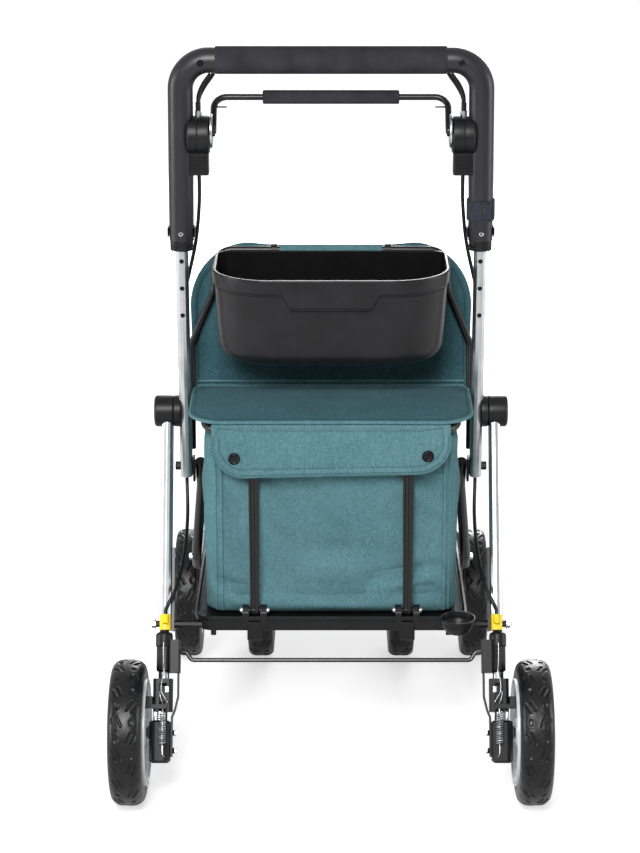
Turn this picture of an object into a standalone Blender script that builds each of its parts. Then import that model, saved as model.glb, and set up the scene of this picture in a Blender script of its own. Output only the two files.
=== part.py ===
"""Shopping rollator: a wheeled walking frame with seat, bag, basket and brakes.

Units are metres. X points right and Y forward, both as the user sees them, and Z up. The origin lies on
the floor under the middle of the rollator. Right-hand pieces are modelled with side = 1, left with side = -1.
"""
from math import acos, atan2, ceil, cos, hypot, pi, radians, sin, tan

import bmesh
import bpy
from mathutils import Matrix, Vector

# Play between neighbours
GAP = 0.0003
RUNNING = 0.0005

# Upright: a flat oval tube that leans back and telescopes into the handle
UPRIGHT_X = 0.1942
OVAL_WIDTH = 0.016
OVAL_DEPTH = 0.026
UPRIGHT_LEAN = radians(2.14)
UPRIGHT_FOOT_Z = 0.383
UPRIGHT_TOP_Z = 0.762
HOLE_DIAMETER = 0.0065
HOLE_PITCH = 0.0367
HOLE_LOWEST_Z = 0.6104
HOLE_COUNT = 3
HOLE_DEPTH = 0.003

# Fold hinge between the upright and the rear leg
HINGE_Y = -0.0532
HINGE_Z = 0.474
DRUM_RADIUS = 0.021
DRUM_INNER_X = 0.1988
DRUM_SPLIT_X = 0.2092
DRUM_OUTER_X = 0.2350
DRUM_EDGE = 0.0025

# Rear leg, which leans from the hinge down to the rear axle
AXLE_Y = -0.247
AXLE_Z = 0.095
LEG_X = 0.2175
LEG_LEAN = atan2(HINGE_Y - AXLE_Y, HINGE_Z - AXLE_Z)

# Handle
HANDLE_X = 0.1915
HANDLE_RADIUS = 0.01615
HANDLE_TOP_Z = 0.9456
HANDLE_BEND = 0.0375
HANDLE_FOOT_Z = 0.7106
HANDLE_BORE_TOP_Z = 0.885
GRIP_HALF_LENGTH = 0.147
GRIP_RADIUS = 0.0176

# Collar under the end of each handle tube, and the release clip round the tube above it
COLLAR_PROUD = 0.0009
COLLAR_FOOT_Z = 0.6975
CLIP_Z = 0.7210
CLIP_HEIGHT = 0.0130
CLIP_THICKNESS = 0.0018
CLIP_TRAVEL = 0.003
CLIP_REACH = 0.0060
SCREW_RADIUS = 0.0030
SCREW_PROUD = 0.0010

# Brake housing and brake bar
HOUSING_INNER_X = 0.1547
HOUSING_OUTER_X = 0.1872
HOUSING_DRUM_Z = 0.849
HOUSING_DRUM_RADIUS = 0.0246
HOUSING_BOX_INNER_X = 0.1570
HOUSING_BOX_OUTER_X = 0.1840
HOUSING_BOX_DEPTH = 0.024
HOUSING_FOOT_Z = 0.7980
ADJUSTER_X = 0.1696
ADJUSTER_RADIUS = 0.0042
ADJUSTER_TOP_Z = 0.8916
LEVER_PIVOT_Z = 0.854
LEVER_DISC_RADIUS = 0.0095
LEVER_DISC_THICKNESS = 0.0062
LEVER_FORWARD = 0.0350
LEVER_BAR_Z = 0.8917
LEVER_ROD_RADIUS = 0.0034
LEVER_BEND = 0.017
LEVER_ARM_X = 0.1508
LEVER_GRIP_HALF_LENGTH = 0.088
LEVER_GRIP_HEIGHT = 0.0175
LEVER_GRIP_DEPTH = 0.0125

# Strap on the right handle tube
STRAP_FOOT_Z = 0.738
STRAP_TOP_Z = 0.7645
STRAP_THICKNESS = 0.0018

# Brake cables
CABLE_RADIUS = 0.0024
FERRULE_RADIUS = 0.0040

# Bracket between the foot of the upright and the front tube
BRACKET_THICKNESS = 0.0030
BRACKET_PIN_Z = 0.3960
BRACKET_PIN_RADIUS = 0.0030
BRACKET_SPACER_RADIUS = 0.0060
BRACKET_HALF_WIDTH = 0.0110
BRACKET_TOP_Z = 0.4080
BRACKET_FOOT_Z = 0.3720

# Front frame: one bent tube with two caster heads
FRONT_TUBE_RADIUS = 0.0070
FRONT_PIVOT_X = 0.1900
FRONT_PIVOT_Y = 0.0660
FRONT_PIVOT_Z = 0.2217
FRONT_RAIL_Z = 0.2010
FRONT_CROSS_Y = 0.2250
FRONT_RAIL_BEND = 0.0350
CASTER_X = 0.1580
CASTER_AXLE_Y = 0.2470
CASTER_TRAIL = 0.0350
HEAD_RADIUS = 0.0150
HEAD_FOOT_Z = 0.1945
HEAD_TOP_Z = 0.2300
STEM_RADIUS = 0.0060
CASTER_HUB_HALF = 0.0310
CASTER_HUB_RADIUS = 0.0125

# Hoop that carries the back panel, the basket and the seat pivots
HOOP_RADIUS = 0.0050
HOOP_BAR_Y = 0.0195
HOOP_BAR_Z = 0.6770
HOOP_HALF_WIDTH = 0.1560
HOOP_SHOULDER_Y = 0.0
HOOP_SHOULDER_Z = 0.5515
HOOP_WAIST_X = 0.1870
HOOP_FOOT_Y = -0.0300
HOOP_FOOT_Z = 0.4140
HOOP_STUD_Z = 0.4300
HOOP_BEND = 0.0240

# Seat
SEAT_PIVOT_Y = -0.0180
SEAT_PIVOT_Z = 0.4842
SEAT_PIN_RADIUS = 0.0035
SEAT_TUBE_RADIUS = 0.0060
SEAT_TUBE_X = 0.1630
SEAT_TUBE_REAR_Y = -0.1720
SEAT_BEND = 0.0350
SEAT_HALF_WIDTH = 0.1840
SEAT_REAR_Y = -0.1900
SEAT_FRONT_Y = -0.0300
SEAT_THICKNESS = 0.0165
SEAT_CROWN = 0.0045
SEAT_PULL = 0.0030
SEAT_REAR_CORNER = 0.0480
SEAT_FRONT_CORNER = 0.0120

# Flap under the rear edge of the seat
FLAP_HALF_WIDTH = 0.1560
FLAP_Y = -0.1850
FLAP_THICKNESS = 0.0040
FLAP_TOP_Z = 0.4890
FLAP_FOOT_Z = 0.4270
FLAP_CORNER = 0.0300
SNAP_RADIUS = 0.0068
SNAP_X = 0.1180
SNAP_Z = 0.4465
SNAP_HEIGHT = 0.0016

# Back panel
PANEL_OFFSET = 0.0115
PANEL_THICKNESS = 0.0050
PANEL_FOOT_Z = 0.4960
PANEL_TOP_Z = 0.6825
PANEL_HALF_WIDTH = 0.1890
PANEL_FOOT_HALF_WIDTH = 0.1850
SLEEVE_HALF_LENGTH = 0.0680
SLEEVE_WALL = 0.0016

# Basket
BASKET_TOP_Z = 0.6780
BASKET_FOOT_Z = 0.5560
BASKET_HALF_WIDTH = 0.1540
BASKET_FOOT_HALF_WIDTH = 0.1360
BASKET_BACK_Y = 0.0120
BASKET_FRONT_Y = -0.1530
BASKET_FOOT_FRONT_Y = -0.1310
BASKET_WALL = 0.0022
BASKET_REAR_CORNER = 0.0180
BASKET_FRONT_CORNER = 0.0740
BASKET_RIM_HEIGHT = 0.0190
BASKET_RIM_PROUD = 0.0020
BASKET_DIP = 0.0120
BASKET_DIP_HALF_WIDTH = 0.0620
HOOK_X = 0.0760
HOOK_WIDTH = 0.0080
HOOK_THICKNESS = 0.0025

# Tray
TRAY_HALF_WIDTH = 0.1795
TRAY_REAR_Y = -0.1955
TRAY_FRONT_Y = 0.1750
TRAY_CORNER = 0.0260
TRAY_WALL = 0.0040
TRAY_FOOT_Z = 0.2166
TRAY_TOP_Z = 0.2360
TRAY_FLOOR_Z = 0.2290
TRAY_FLOOR_THICKNESS = 0.0028
TRAY_BEAD = 0.0014
TRAY_BOSS_RADIUS = 0.0048
TRAY_NOTCH_AHEAD = 0.0220
CLEVIS_FOOT_Z = 0.2031
CLEVIS_HALF_HEIGHT = 0.0075
KEEPER_X = 0.1540
KEEPER_FOOT_Z = 0.2100
CUP_X = 0.1645
CUP_Y = -0.2160
CUP_RADIUS = 0.0225
CUP_WALL = 0.0030
CUP_TOP_Z = 0.2420
CUP_FOOT_Z = 0.2180

# Struts between the tray and the seat
STRUT_X = 0.1000
STRUT_FOOT_Y = -0.1850
STRUT_FOOT_Z = 0.2414
STRUT_TOP_Y = -0.1750
STRUT_TOP_Z = 0.4740
STRUT_FOOT_WIDTH = 0.0130
STRUT_TOP_WIDTH = 0.0090
STRUT_THICKNESS = 0.0060
LUG_THICKNESS = 0.0028
STRUT_PIN_RADIUS = 0.0025
NUT_RADIUS = 0.0045
NUT_HEIGHT = 0.0050

# Bag
BAG_HALF_WIDTH = 0.1650
BAG_REAR_Y = -0.1650
BAG_FRONT_Y = 0.1600
BAG_CORNER = 0.0300
BAG_SHELF_Z = 0.4745
BAG_TOP_Z = 0.6640

# Cross tube and foot bar between the rear legs
CROSS_RADIUS = 0.0052
CROSS_ALONG = 0.1415
STRIP_HALF_WIDTH = 0.0075
STRIP_THICKNESS = 0.0033
STRIP_ALONG = (0.1320, 0.2420)
FOOT_BAR_RADIUS = 0.0030
FOOT_BAR_ALONG = 0.0940

# Foot of the rear leg, measured along the leg from the axle
YELLOW_ALONG = (0.1330, 0.1526)
YELLOW_WIDTH = 0.0150
YELLOW_DEPTH = 0.0250
BOLT_RADIUS = 0.0025
BELLOWS_X = 0.2189
BELLOWS_RADIUS = 0.0102
BELLOWS_ALONG = (0.0786, 0.1292)
BELLOWS_NECK_RADIUS = 0.0062
SIDE_BOX_X = (0.1975, 0.2120)
SIDE_BOX_DEPTH = 0.0200
SIDE_BOX_ALONG = (0.0771, 0.1202)
SIDE_STRAP_THICKNESS = 0.0024
SIDE_STRAP_WIDTH = 0.0110
SIDE_STRAP_X = 0.2000
SLIDER_X = (0.2072, 0.2322)
SLIDER_DEPTH = 0.0260
SLIDER_ALONG = (0.0263, 0.0692)
SLIDER_SLOT_WIDTH = 0.0100
SLIDER_SLOT_DEPTH = 0.0080
ROD_RADIUS = 0.0065
CUP_FOOT_X = (0.2094, 0.2372)
CUP_FOOT_DEPTH = 0.0280
CUP_FOOT_ALONG = (-0.0399, 0.0146)
CORE_RADIUS = 0.0088
AXLE_BLOCK_X = 0.2390
AXLE_BLOCK_HALF = 0.0080

# Return spring of the brake
SPRING_X = 0.2190
SPRING_BEHIND = 0.0200
SPRING_RADIUS = 0.0041
SPRING_WIRE_RADIUS = 0.0008
SPRING_ALONG = (-0.0160, 0.0250)
SPRING_CURLS = 8
SPRING_CURL_POINTS = 8
SPRING_HOOK_ALONG = -0.0300

# Brake shoe
SHOE_X = (0.2410, 0.2480)
SHOE_RADIUS = 0.0523
SHOE_HALF_ANGLE = radians(16)
SHOE_ALONG = (0.0300, 0.0460)
SHOE_HALF_DEPTH = 0.0060
SHOE_TRAVEL = 0.003

# Wheels
REAR_WHEEL_X = 0.2634
WHEEL_RADIUS = 0.0950
TREAD_WIDTH = 0.0444
RIM_RADIUS = 0.0700
RIM_INNER_X = 0.2385
RIM_OUTER_X = 0.2845
DRUM_RING_RADIUS = 0.0560
HUB_RADIUS = 0.0180
HUB_INNER_X = 0.2405
HUB_OUTER_X = 0.2825
AXLE_RADIUS = 0.0060
AXLE_CAP_RADIUS = 0.0115
WINDOW_COUNT = 5
WINDOW_RADII = (0.0230, 0.0500)
FRONT_WHEEL_X = (0.1040, 0.2115)
FRONT_TREAD = 0.0400
FRONT_RIM_RADIUS = 0.0640
FRONT_HUB_RADIUS = 0.0140
FRONT_AXLE_RADIUS = 0.0050

# Facets round each kind of round piece, and steps along a bend
REAR_WHEEL_SIDES = 24
FRONT_WHEEL_SIDES = 20
HANDLE_SIDES = 16
HOUSING_SIDES = 16
HINGE_SIDES = 20
CUP_SIDES = 16
TUBE_SIDES = 8
BOSS_SIDES = 12
PIN_SIDES = 8
BEND_STEPS = 3

# Colour as sRGB hex, roughness and metallic value of each material
FINISHES = {
    "silver_tube": ("c9cacb", 0.32, 0.9),
    "black_tube": ("1c1c1e", 0.45, 0.2),
    "black_plastic": ("202124", 0.55, 0.0),
    "grip_foam": ("2b2c30", 0.9, 0.0),
    "basket_plastic": ("222224", 0.5, 0.0),
    "teal_fabric": ("2f5f5e", 0.95, 0.0),
    "yellow_plastic": ("f2cc1b", 0.45, 0.0),
    "tyre_rubber": ("2a2a2c", 0.85, 0.0),
    "rim_plastic": ("b9bcbe", 0.5, 0.0),
    "spring_steel": ("b4b6b8", 0.3, 1.0),
    "cable_sheath": ("141416", 0.5, 0.0),
}


def linear(channel):
    """One sRGB channel, 0 to 1, as the linear value that a shader takes."""
    return channel / 12.92 if channel <= 0.04045 else ((channel + 0.055) / 1.055) ** 2.4


def finish_material(slot):
    """The Principled material of one slot, made once."""
    if slot in bpy.data.materials:
        return bpy.data.materials[slot]
    colour, roughness, metallic = FINISHES[slot]
    material = bpy.data.materials.new(slot)
    material.use_nodes = True
    shader = material.node_tree.nodes["Principled BSDF"]
    channels = [linear(int(colour[i:i + 2], 16) / 255) for i in (0, 2, 4)]
    shader.inputs["Base Color"].default_value = (*channels, 1)
    shader.inputs["Roughness"].default_value = roughness
    shader.inputs["Metallic"].default_value = metallic
    return material


def new_object(data, name="shape"):
    piece = bpy.data.objects.new(name, data)
    bpy.context.scene.collection.objects.link(piece)
    return piece


def from_bmesh(bm):
    """An object of a closed bmesh, with its faces turned outwards."""
    bmesh.ops.recalc_face_normals(bm, faces=bm.faces)
    mesh = bpy.data.meshes.new("shape")
    bm.to_mesh(mesh)
    bm.free()
    return new_object(mesh)


def loft(rings):
    """A skin over rings of as many points each, with capped ends."""
    bm = bmesh.new()
    loops = [[bm.verts.new(point) for point in ring] for ring in rings]
    for lower, upper in zip(loops, loops[1:]):
        for i in range(len(lower)):
            j = (i + 1) % len(lower)
            bm.faces.new((lower[i], lower[j], upper[j], upper[i]))
    bm.faces.new(loops[0])
    bm.faces.new(loops[-1])
    return from_bmesh(bm)


def revolve(profile, centre, axis, sides, ring=False):
    """A profile of (radius, height) turned about an axis; a radius of 0 is a pole, ring joins its two ends."""
    axis = Vector(axis).normalized()
    across = axis.orthogonal().normalized() if abs(axis.x) < 0.9 else Vector((0, 0, -1))
    over = axis.cross(across)
    bm = bmesh.new()
    loops = []
    for radius, height in profile:
        middle = Vector(centre) + axis * height
        if radius == 0:
            loops.append([bm.verts.new(middle)] * sides)
            continue
        turns = [2 * pi * k / sides for k in range(sides)]
        loops.append([bm.verts.new(middle + (across * cos(a) + over * sin(a)) * radius) for a in turns])
    pairs = list(zip(loops, loops[1:]))
    if ring:
        pairs.append((loops[-1], loops[0]))
    for lower, upper in pairs:
        for i in range(sides):
            j = (i + 1) % sides
            corners = list(dict.fromkeys((lower[i], lower[j], upper[j], upper[i])))
            if len(corners) > 2:
                bm.faces.new(corners)
    return from_bmesh(bm)


def rod(start, end, radius, sides=PIN_SIDES):
    """A round bar from one point to another."""
    length = (Vector(end) - Vector(start)).length
    return revolve([(0, 0), (radius, 0), (radius, length), (0, length)], start, Vector(end) - Vector(start), sides)


def circle(radius, sides):
    return [(radius * cos(2 * pi * k / sides), radius * sin(2 * pi * k / sides)) for k in range(sides)]


def rounded_outline(x0, x1, y0, y1, corners, steps=5):
    """A rectangle with round corners, given as radii from (x0, y0) anticlockwise."""
    centres = ((x0, y0, 1, 1, pi), (x1, y0, -1, 1, 1.5 * pi), (x1, y1, -1, -1, 0), (x0, y1, 1, -1, 0.5 * pi))
    points = []
    for (x, y, inward_x, inward_y, start), radius in zip(centres, corners):
        for k in range(steps + 1):
            angle = start + 0.5 * pi * k / steps
            points.append((x + inward_x * radius + radius * cos(angle), y + inward_y * radius + radius * sin(angle)))
    return points


def flat_oval(width, depth, steps=3):
    radius = width / 2
    return rounded_outline(-radius, radius, -depth / 2, depth / 2, [radius * 0.98] * 4, steps)


def sweep(path, section, side):
    """A section of (across, over) points carried along a path; side is the section's first across direction."""
    path = [Vector(point) for point in path]
    rings = []
    across = Vector(side)
    for i, point in enumerate(path):
        back = point - path[max(i - 1, 0)]
        ahead = path[min(i + 1, len(path) - 1)] - point
        tangent = (back.normalized() + ahead.normalized()).normalized()
        across = (across - tangent * across.dot(tangent)).normalized()
        over = tangent.cross(across)
        rings.append([point + across * u + over * v for u, v in section])
    return loft(rings)


def rounded_path(points, radius, steps=BEND_STEPS):
    """A path whose inner corners are arcs of one radius."""
    points = [Vector(point) for point in points]
    path = [points[0]]
    for before, corner, after in zip(points, points[1:], points[2:]):
        arrive = (corner - before).normalized()
        leave = (after - corner).normalized()
        turn = acos(max(-1, min(1, arrive.dot(leave))))
        reach = radius * tan(turn / 2)
        normal = (leave - arrive * arrive.dot(leave)).normalized()
        centre = corner - arrive * reach + normal * radius
        for k in range(steps + 1):
            angle = turn * k / steps
            path.append(centre - normal * radius * cos(angle) + arrive * radius * sin(angle))
    return path + [points[-1]]


def smooth_path(points, spacing):
    """Points about one spacing apart on a smooth curve through the given ones."""
    points = [Vector(point) for point in points]
    ends = [2 * points[0] - points[1]] + points + [2 * points[-1] - points[-2]]
    path = [points[0]]
    for a, b, c, d in zip(ends, ends[1:], ends[2:], ends[3:]):
        steps = max(1, ceil((c - b).length / spacing))
        for k in range(1, steps + 1):
            t = k / steps
            path.append(0.5 * (2 * b + (c - a) * t + (2 * a - 5 * b + 4 * c - d) * t * t
                               + (3 * b - a - 3 * c + d) * t ** 3))
    return path


def tube_along(path, radius, resolution):
    """A round tube with filled ends along the points of a path."""
    curve = bpy.data.curves.new("shape", "CURVE")
    curve.dimensions = "3D"
    curve.bevel_depth = radius
    curve.bevel_resolution = resolution
    curve.use_fill_caps = True
    curve.render_resolution_u = 0
    spline = curve.splines.new("POLY")
    spline.points.add(len(path) - 1)
    for spot, place in zip(spline.points, path):
        spot.co = (*place, 1)
    return new_object(curve)


def block(low, high):
    """A box between two corners."""
    low, high = [min(a, b) for a, b in zip(low, high)], [max(a, b) for a, b in zip(low, high)]
    corners = ((low[0], low[1]), (high[0], low[1]), (high[0], high[1]), (low[0], high[1]))
    return loft([[(x, y, z) for x, y in corners] for z in (low[2], high[2])])


def plate_x(outline, x0, x1):
    """An outline of (y, z) points made thick along X."""
    return loft([[(x, y, z) for y, z in outline] for x in (x0, x1)])


def combine(piece, operation, tools):
    """Joins tools to a piece or cuts them out of it, and removes them."""
    for tool in tools:
        step = piece.modifiers.new("combine", "BOOLEAN")
        step.operation = operation
        step.object = tool
    shaped = bpy.data.meshes.new_from_object(piece.evaluated_get(bpy.context.evaluated_depsgraph_get()))
    piece.modifiers.clear()
    piece.data = shaped
    for tool in tools:
        bpy.data.objects.remove(tool)
    return piece


def join(piece, *tools):
    return combine(piece, "UNION", tools)


def cut(piece, *tools):
    return combine(piece, "DIFFERENCE", tools)


def node(piece, name, slot, origin=(0, 0, 0)):
    """Names a finished piece, gives it its material and puts its origin on its joint's axis."""
    piece.name = name
    piece.data.name = name
    piece.data.materials.clear()
    piece.data.materials.append(finish_material(slot))
    piece.data.transform(Matrix.Translation(-Vector(origin)))
    piece.location = origin
    if piece.type == "MESH":
        piece.data.shade_smooth()
        piece.data.set_sharp_from_angle(angle=radians(32))
    return piece


def on_upright(x, ahead, z):
    """A point at height z beside the upright's centre line, ahead of it by a distance."""
    return Vector((x, HINGE_Y - (z - HINGE_Z) * tan(UPRIGHT_LEAN) + ahead, z))


def on_handle(side, ahead, z):
    """A point at height z beside the centre line of a handle tube, which splays towards its foot."""
    share = (HANDLE_TOP_Z - z) / (HANDLE_TOP_Z - HANDLE_FOOT_Z)
    return on_upright(side * (HANDLE_X + (UPRIGHT_X - HANDLE_X) * share), ahead, z)


def on_leg(x, ahead, along):
    """A point by the leg's centre line: ahead of it and along it, measured from the axle."""
    y = AXLE_Y + along * sin(LEG_LEAN) + ahead * cos(LEG_LEAN)
    return Vector((x, y, AXLE_Z + along * cos(LEG_LEAN) - ahead * sin(LEG_LEAN)))


def leg_block(x0, x1, ahead0, ahead1, along0, along1, radius=0.0, steps=3):
    """A block in line with the leg, with its four long edges rounded."""
    if radius:
        outline = rounded_outline(x0, x1, ahead0, ahead1, [radius] * 4, steps)
    else:
        outline = [(x0, ahead0), (x1, ahead0), (x1, ahead1), (x0, ahead1)]
    return loft([[on_leg(x, ahead, along) for x, ahead in outline] for along in (along0, along1)])


def leg_axis():
    return on_leg(0, 0, 1) - on_leg(0, 0, 0)


def lean_axis():
    return on_upright(0, 0, 1) - on_upright(0, 0, 0)


def side_name(side):
    return "right" if side > 0 else "left"


def make_upright(side):
    x = side * UPRIGHT_X
    section = flat_oval(OVAL_WIDTH, OVAL_DEPTH)
    tube = loft([[on_upright(x + u, v, z) for u, v in section] for z in (UPRIGHT_FOOT_Z, UPRIGHT_TOP_Z)])
    holes = []
    for k in range(HOLE_COUNT):
        z = HOLE_LOWEST_Z + k * HOLE_PITCH
        face = -OVAL_DEPTH / 2
        holes.append(rod(on_upright(x, face - HOLE_DEPTH, z), on_upright(x, face + HOLE_DEPTH, z), HOLE_DIAMETER / 2))
    reach = OVAL_WIDTH
    pin = BRACKET_PIN_RADIUS + GAP
    holes.append(rod(on_upright(x - reach, 0, BRACKET_PIN_Z), on_upright(x + reach, 0, BRACKET_PIN_Z), pin))
    node(cut(tube, *holes), f"upright_{side_name(side)}", "silver_tube")


def make_lower_bracket(side):
    """A plate on the inner face of the upright, riveted through it to a spacer on the outer face."""
    face = UPRIGHT_X - OVAL_WIDTH / 2 - GAP
    outline = [(-BRACKET_HALF_WIDTH, BRACKET_TOP_Z), (BRACKET_HALF_WIDTH, BRACKET_TOP_Z),
               (BRACKET_HALF_WIDTH * 1.5, BRACKET_FOOT_Z), (BRACKET_HALF_WIDTH * 0.2, BRACKET_FOOT_Z)]
    rings = [[on_upright(side * x, ahead, z) for ahead, z in outline] for x in (face - BRACKET_THICKNESS, face)]
    outer = UPRIGHT_X + OVAL_WIDTH / 2 + GAP
    far = LEG_X - OVAL_WIDTH / 2 - 2 * GAP
    pin = rod(on_upright(side * (face - BRACKET_THICKNESS / 2), 0, BRACKET_PIN_Z),
              on_upright(side * (outer + BRACKET_THICKNESS / 2), 0, BRACKET_PIN_Z), BRACKET_PIN_RADIUS)
    spacer = rod(on_upright(side * outer, 0, BRACKET_PIN_Z), on_upright(side * far, 0, BRACKET_PIN_Z),
                 BRACKET_SPACER_RADIUS)
    node(join(loft(rings), pin, spacer), f"lower_bracket_{side_name(side)}", "black_plastic")


def drum(side, inner, outer):
    """A round hinge half about the fold axis, with a small edge on its outer rim."""
    axis = (side, 0, 0)
    profile = [(0, inner), (DRUM_RADIUS, inner), (DRUM_RADIUS, outer - DRUM_EDGE),
               (DRUM_RADIUS - DRUM_EDGE, outer), (0, outer)]
    return revolve(profile, (0, HINGE_Y, HINGE_Z), axis, HINGE_SIDES)


def make_hinge(side):
    """The half on the upright has a saddle and a ferrule for the cable; the other half caps the leg."""
    section = flat_oval(OVAL_WIDTH + 2 * GAP, OVAL_DEPTH + 2 * GAP)
    x = side * UPRIGHT_X
    saddle = loft([[on_upright(x + u, v, z) for u, v in section] for z in (HINGE_Z - 0.05, HINGE_Z + 0.05)])
    ferrule_foot = upper_cable_end(side) - lean_axis() * (FERRULE_RADIUS * 3)
    ferrule = rod(ferrule_foot, upper_cable_end(side) - lean_axis() * GAP, FERRULE_RADIUS)
    disc = cut(join(drum(side, DRUM_INNER_X, DRUM_SPLIT_X), ferrule), saddle)
    node(disc, f"hinge_disc_{side_name(side)}", "black_plastic")
    cap = drum(side, DRUM_SPLIT_X + GAP, DRUM_OUTER_X)
    node(cap, f"hinge_cap_{side_name(side)}", "black_plastic", (0, HINGE_Y, HINGE_Z))


def make_leg(side):
    x = side * LEG_X
    section = flat_oval(OVAL_WIDTH, OVAL_DEPTH)
    top = hypot(HINGE_Y - AXLE_Y, HINGE_Z - AXLE_Z)
    foot = YELLOW_ALONG[1] + GAP
    tube = loft([[on_leg(x + u, v, along) for u, v in section] for along in (foot, top)])
    seat = rod((side * (LEG_X - 0.03), HINGE_Y, HINGE_Z), (side * (LEG_X + 0.03), HINGE_Y, HINGE_Z),
               DRUM_RADIUS + 2 * GAP, HINGE_SIDES)
    node(cut(tube, seat), f"rear_leg_{side_name(side)}", "silver_tube", (0, HINGE_Y, HINGE_Z))


def make_handle():
    """An inverted U whose legs splay a little and are bored for the uprights, with a foam grip on top."""
    top = on_upright(0, 0, HANDLE_TOP_Z)
    foot = on_upright(0, 0, HANDLE_FOOT_Z)
    corners = [(-UPRIGHT_X, foot.y, foot.z), (-HANDLE_X, top.y, top.z), (HANDLE_X, top.y, top.z),
               (UPRIGHT_X, foot.y, foot.z)]
    tube = sweep(rounded_path(corners, HANDLE_BEND, 6), circle(HANDLE_RADIUS, HANDLE_SIDES), (0, 1, 0))
    section = flat_oval(OVAL_WIDTH + 2 * GAP, OVAL_DEPTH + 2 * GAP)
    screws, bores = [], []
    for side in (-1, 1):
        levels = (HANDLE_FOOT_Z - 0.01, HANDLE_BORE_TOP_Z)
        bores.append(loft([[on_upright(side * UPRIGHT_X + u, v, z) for u, v in section] for z in levels]))
        screws.append(rod(on_upright(side * UPRIGHT_X, -HANDLE_RADIUS + 0.002, CLIP_Z),
                          on_upright(side * UPRIGHT_X, -HANDLE_RADIUS - SCREW_PROUD, CLIP_Z), SCREW_RADIUS))
    node(cut(join(tube, *screws), *bores), "handle_tube", "black_tube")
    wall = GRIP_RADIUS - HANDLE_RADIUS - GAP
    bore = HANDLE_RADIUS + GAP
    half = GRIP_HALF_LENGTH
    profile = [(bore, -half), (GRIP_RADIUS - wall / 2, -half), (GRIP_RADIUS, -half + 0.002),
               (GRIP_RADIUS, half - 0.002), (GRIP_RADIUS - wall / 2, half), (bore, half)]
    node(revolve(profile, top, (1, 0, 0), HANDLE_SIDES, ring=True), "handle_grip", "grip_foam")


def make_collar(side):
    """The end ring that guides the upright, and the U-shaped release clip in front of the tube."""
    x = side * UPRIGHT_X
    radius = HANDLE_RADIUS + COLLAR_PROUD
    foot = on_upright(x, 0, COLLAR_FOOT_Z)
    height = HANDLE_FOOT_Z - GAP - COLLAR_FOOT_Z
    profile = [(0, 0), (radius - 0.001, 0), (radius, 0.001), (radius, height), (0, height)]
    ring = revolve(profile, foot, lean_axis(), HANDLE_SIDES)
    section = flat_oval(OVAL_WIDTH + 2 * GAP, OVAL_DEPTH + 2 * GAP)
    upright = loft([[on_upright(x + u, v, z) for u, v in section]
                    for z in (COLLAR_FOOT_Z - 0.01, HANDLE_FOOT_Z + 0.01)])
    node(cut(ring, upright), f"collar_{side_name(side)}", "black_plastic")
    inner = HANDLE_RADIUS + GAP
    outer = inner + CLIP_THICKNESS
    ahead = CLIP_TRAVEL + GAP
    steps = HANDLE_SIDES // 2

    def bow(radius):
        arc = [(radius * cos(pi * k / steps), ahead + radius * sin(pi * k / steps)) for k in range(steps + 1)]
        return [(radius, -CLIP_REACH)] + arc + [(-radius, -CLIP_REACH)]

    outline = bow(outer) + bow(inner)[::-1]
    levels = (CLIP_Z - CLIP_HEIGHT / 2, CLIP_Z + CLIP_HEIGHT / 2)
    clip = loft([[on_upright(x + u, v, z) for u, v in outline] for z in levels])
    node(clip, f"height_clip_{side_name(side)}", "black_plastic", on_upright(x, 0, CLIP_Z))


def make_housing(side):
    """The brake housing, clamped round the handle tube, with the cable adjuster on top."""
    def at(x, ahead, z):
        return on_upright(side * x, ahead, z)

    centre = at(0, 0, HOUSING_DRUM_Z)
    edge = 0.0022
    radius = HOUSING_DRUM_RADIUS
    profile = [(0, HOUSING_INNER_X), (radius - 0.004, HOUSING_INNER_X), (radius, HOUSING_INNER_X + edge),
               (radius, HOUSING_OUTER_X - edge), (radius - edge, HOUSING_OUTER_X), (0, HOUSING_OUTER_X)]
    body = revolve(profile, centre, (side, 0, 0), HOUSING_SIDES)
    half = HOUSING_BOX_DEPTH / 2
    outline = rounded_outline(HOUSING_BOX_INNER_X, HOUSING_BOX_OUTER_X, -half, half, [0.004] * 4, 3)
    levels = (HOUSING_FOOT_Z, HOUSING_DRUM_Z)
    box = loft([[at(x, ahead, z) for x, ahead in outline] for z in levels])
    adjuster = rod(at(ADJUSTER_X, 0, HOUSING_DRUM_Z), at(ADJUSTER_X, 0, ADJUSTER_TOP_Z), ADJUSTER_RADIUS)
    tube = rod(on_handle(side, 0, HOUSING_FOOT_Z - 0.01), on_handle(side, 0, ADJUSTER_TOP_Z),
               HANDLE_RADIUS + 2 * GAP, HANDLE_SIDES)
    node(cut(join(body, box, adjuster), tube), f"brake_housing_{side_name(side)}", "black_plastic")


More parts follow.
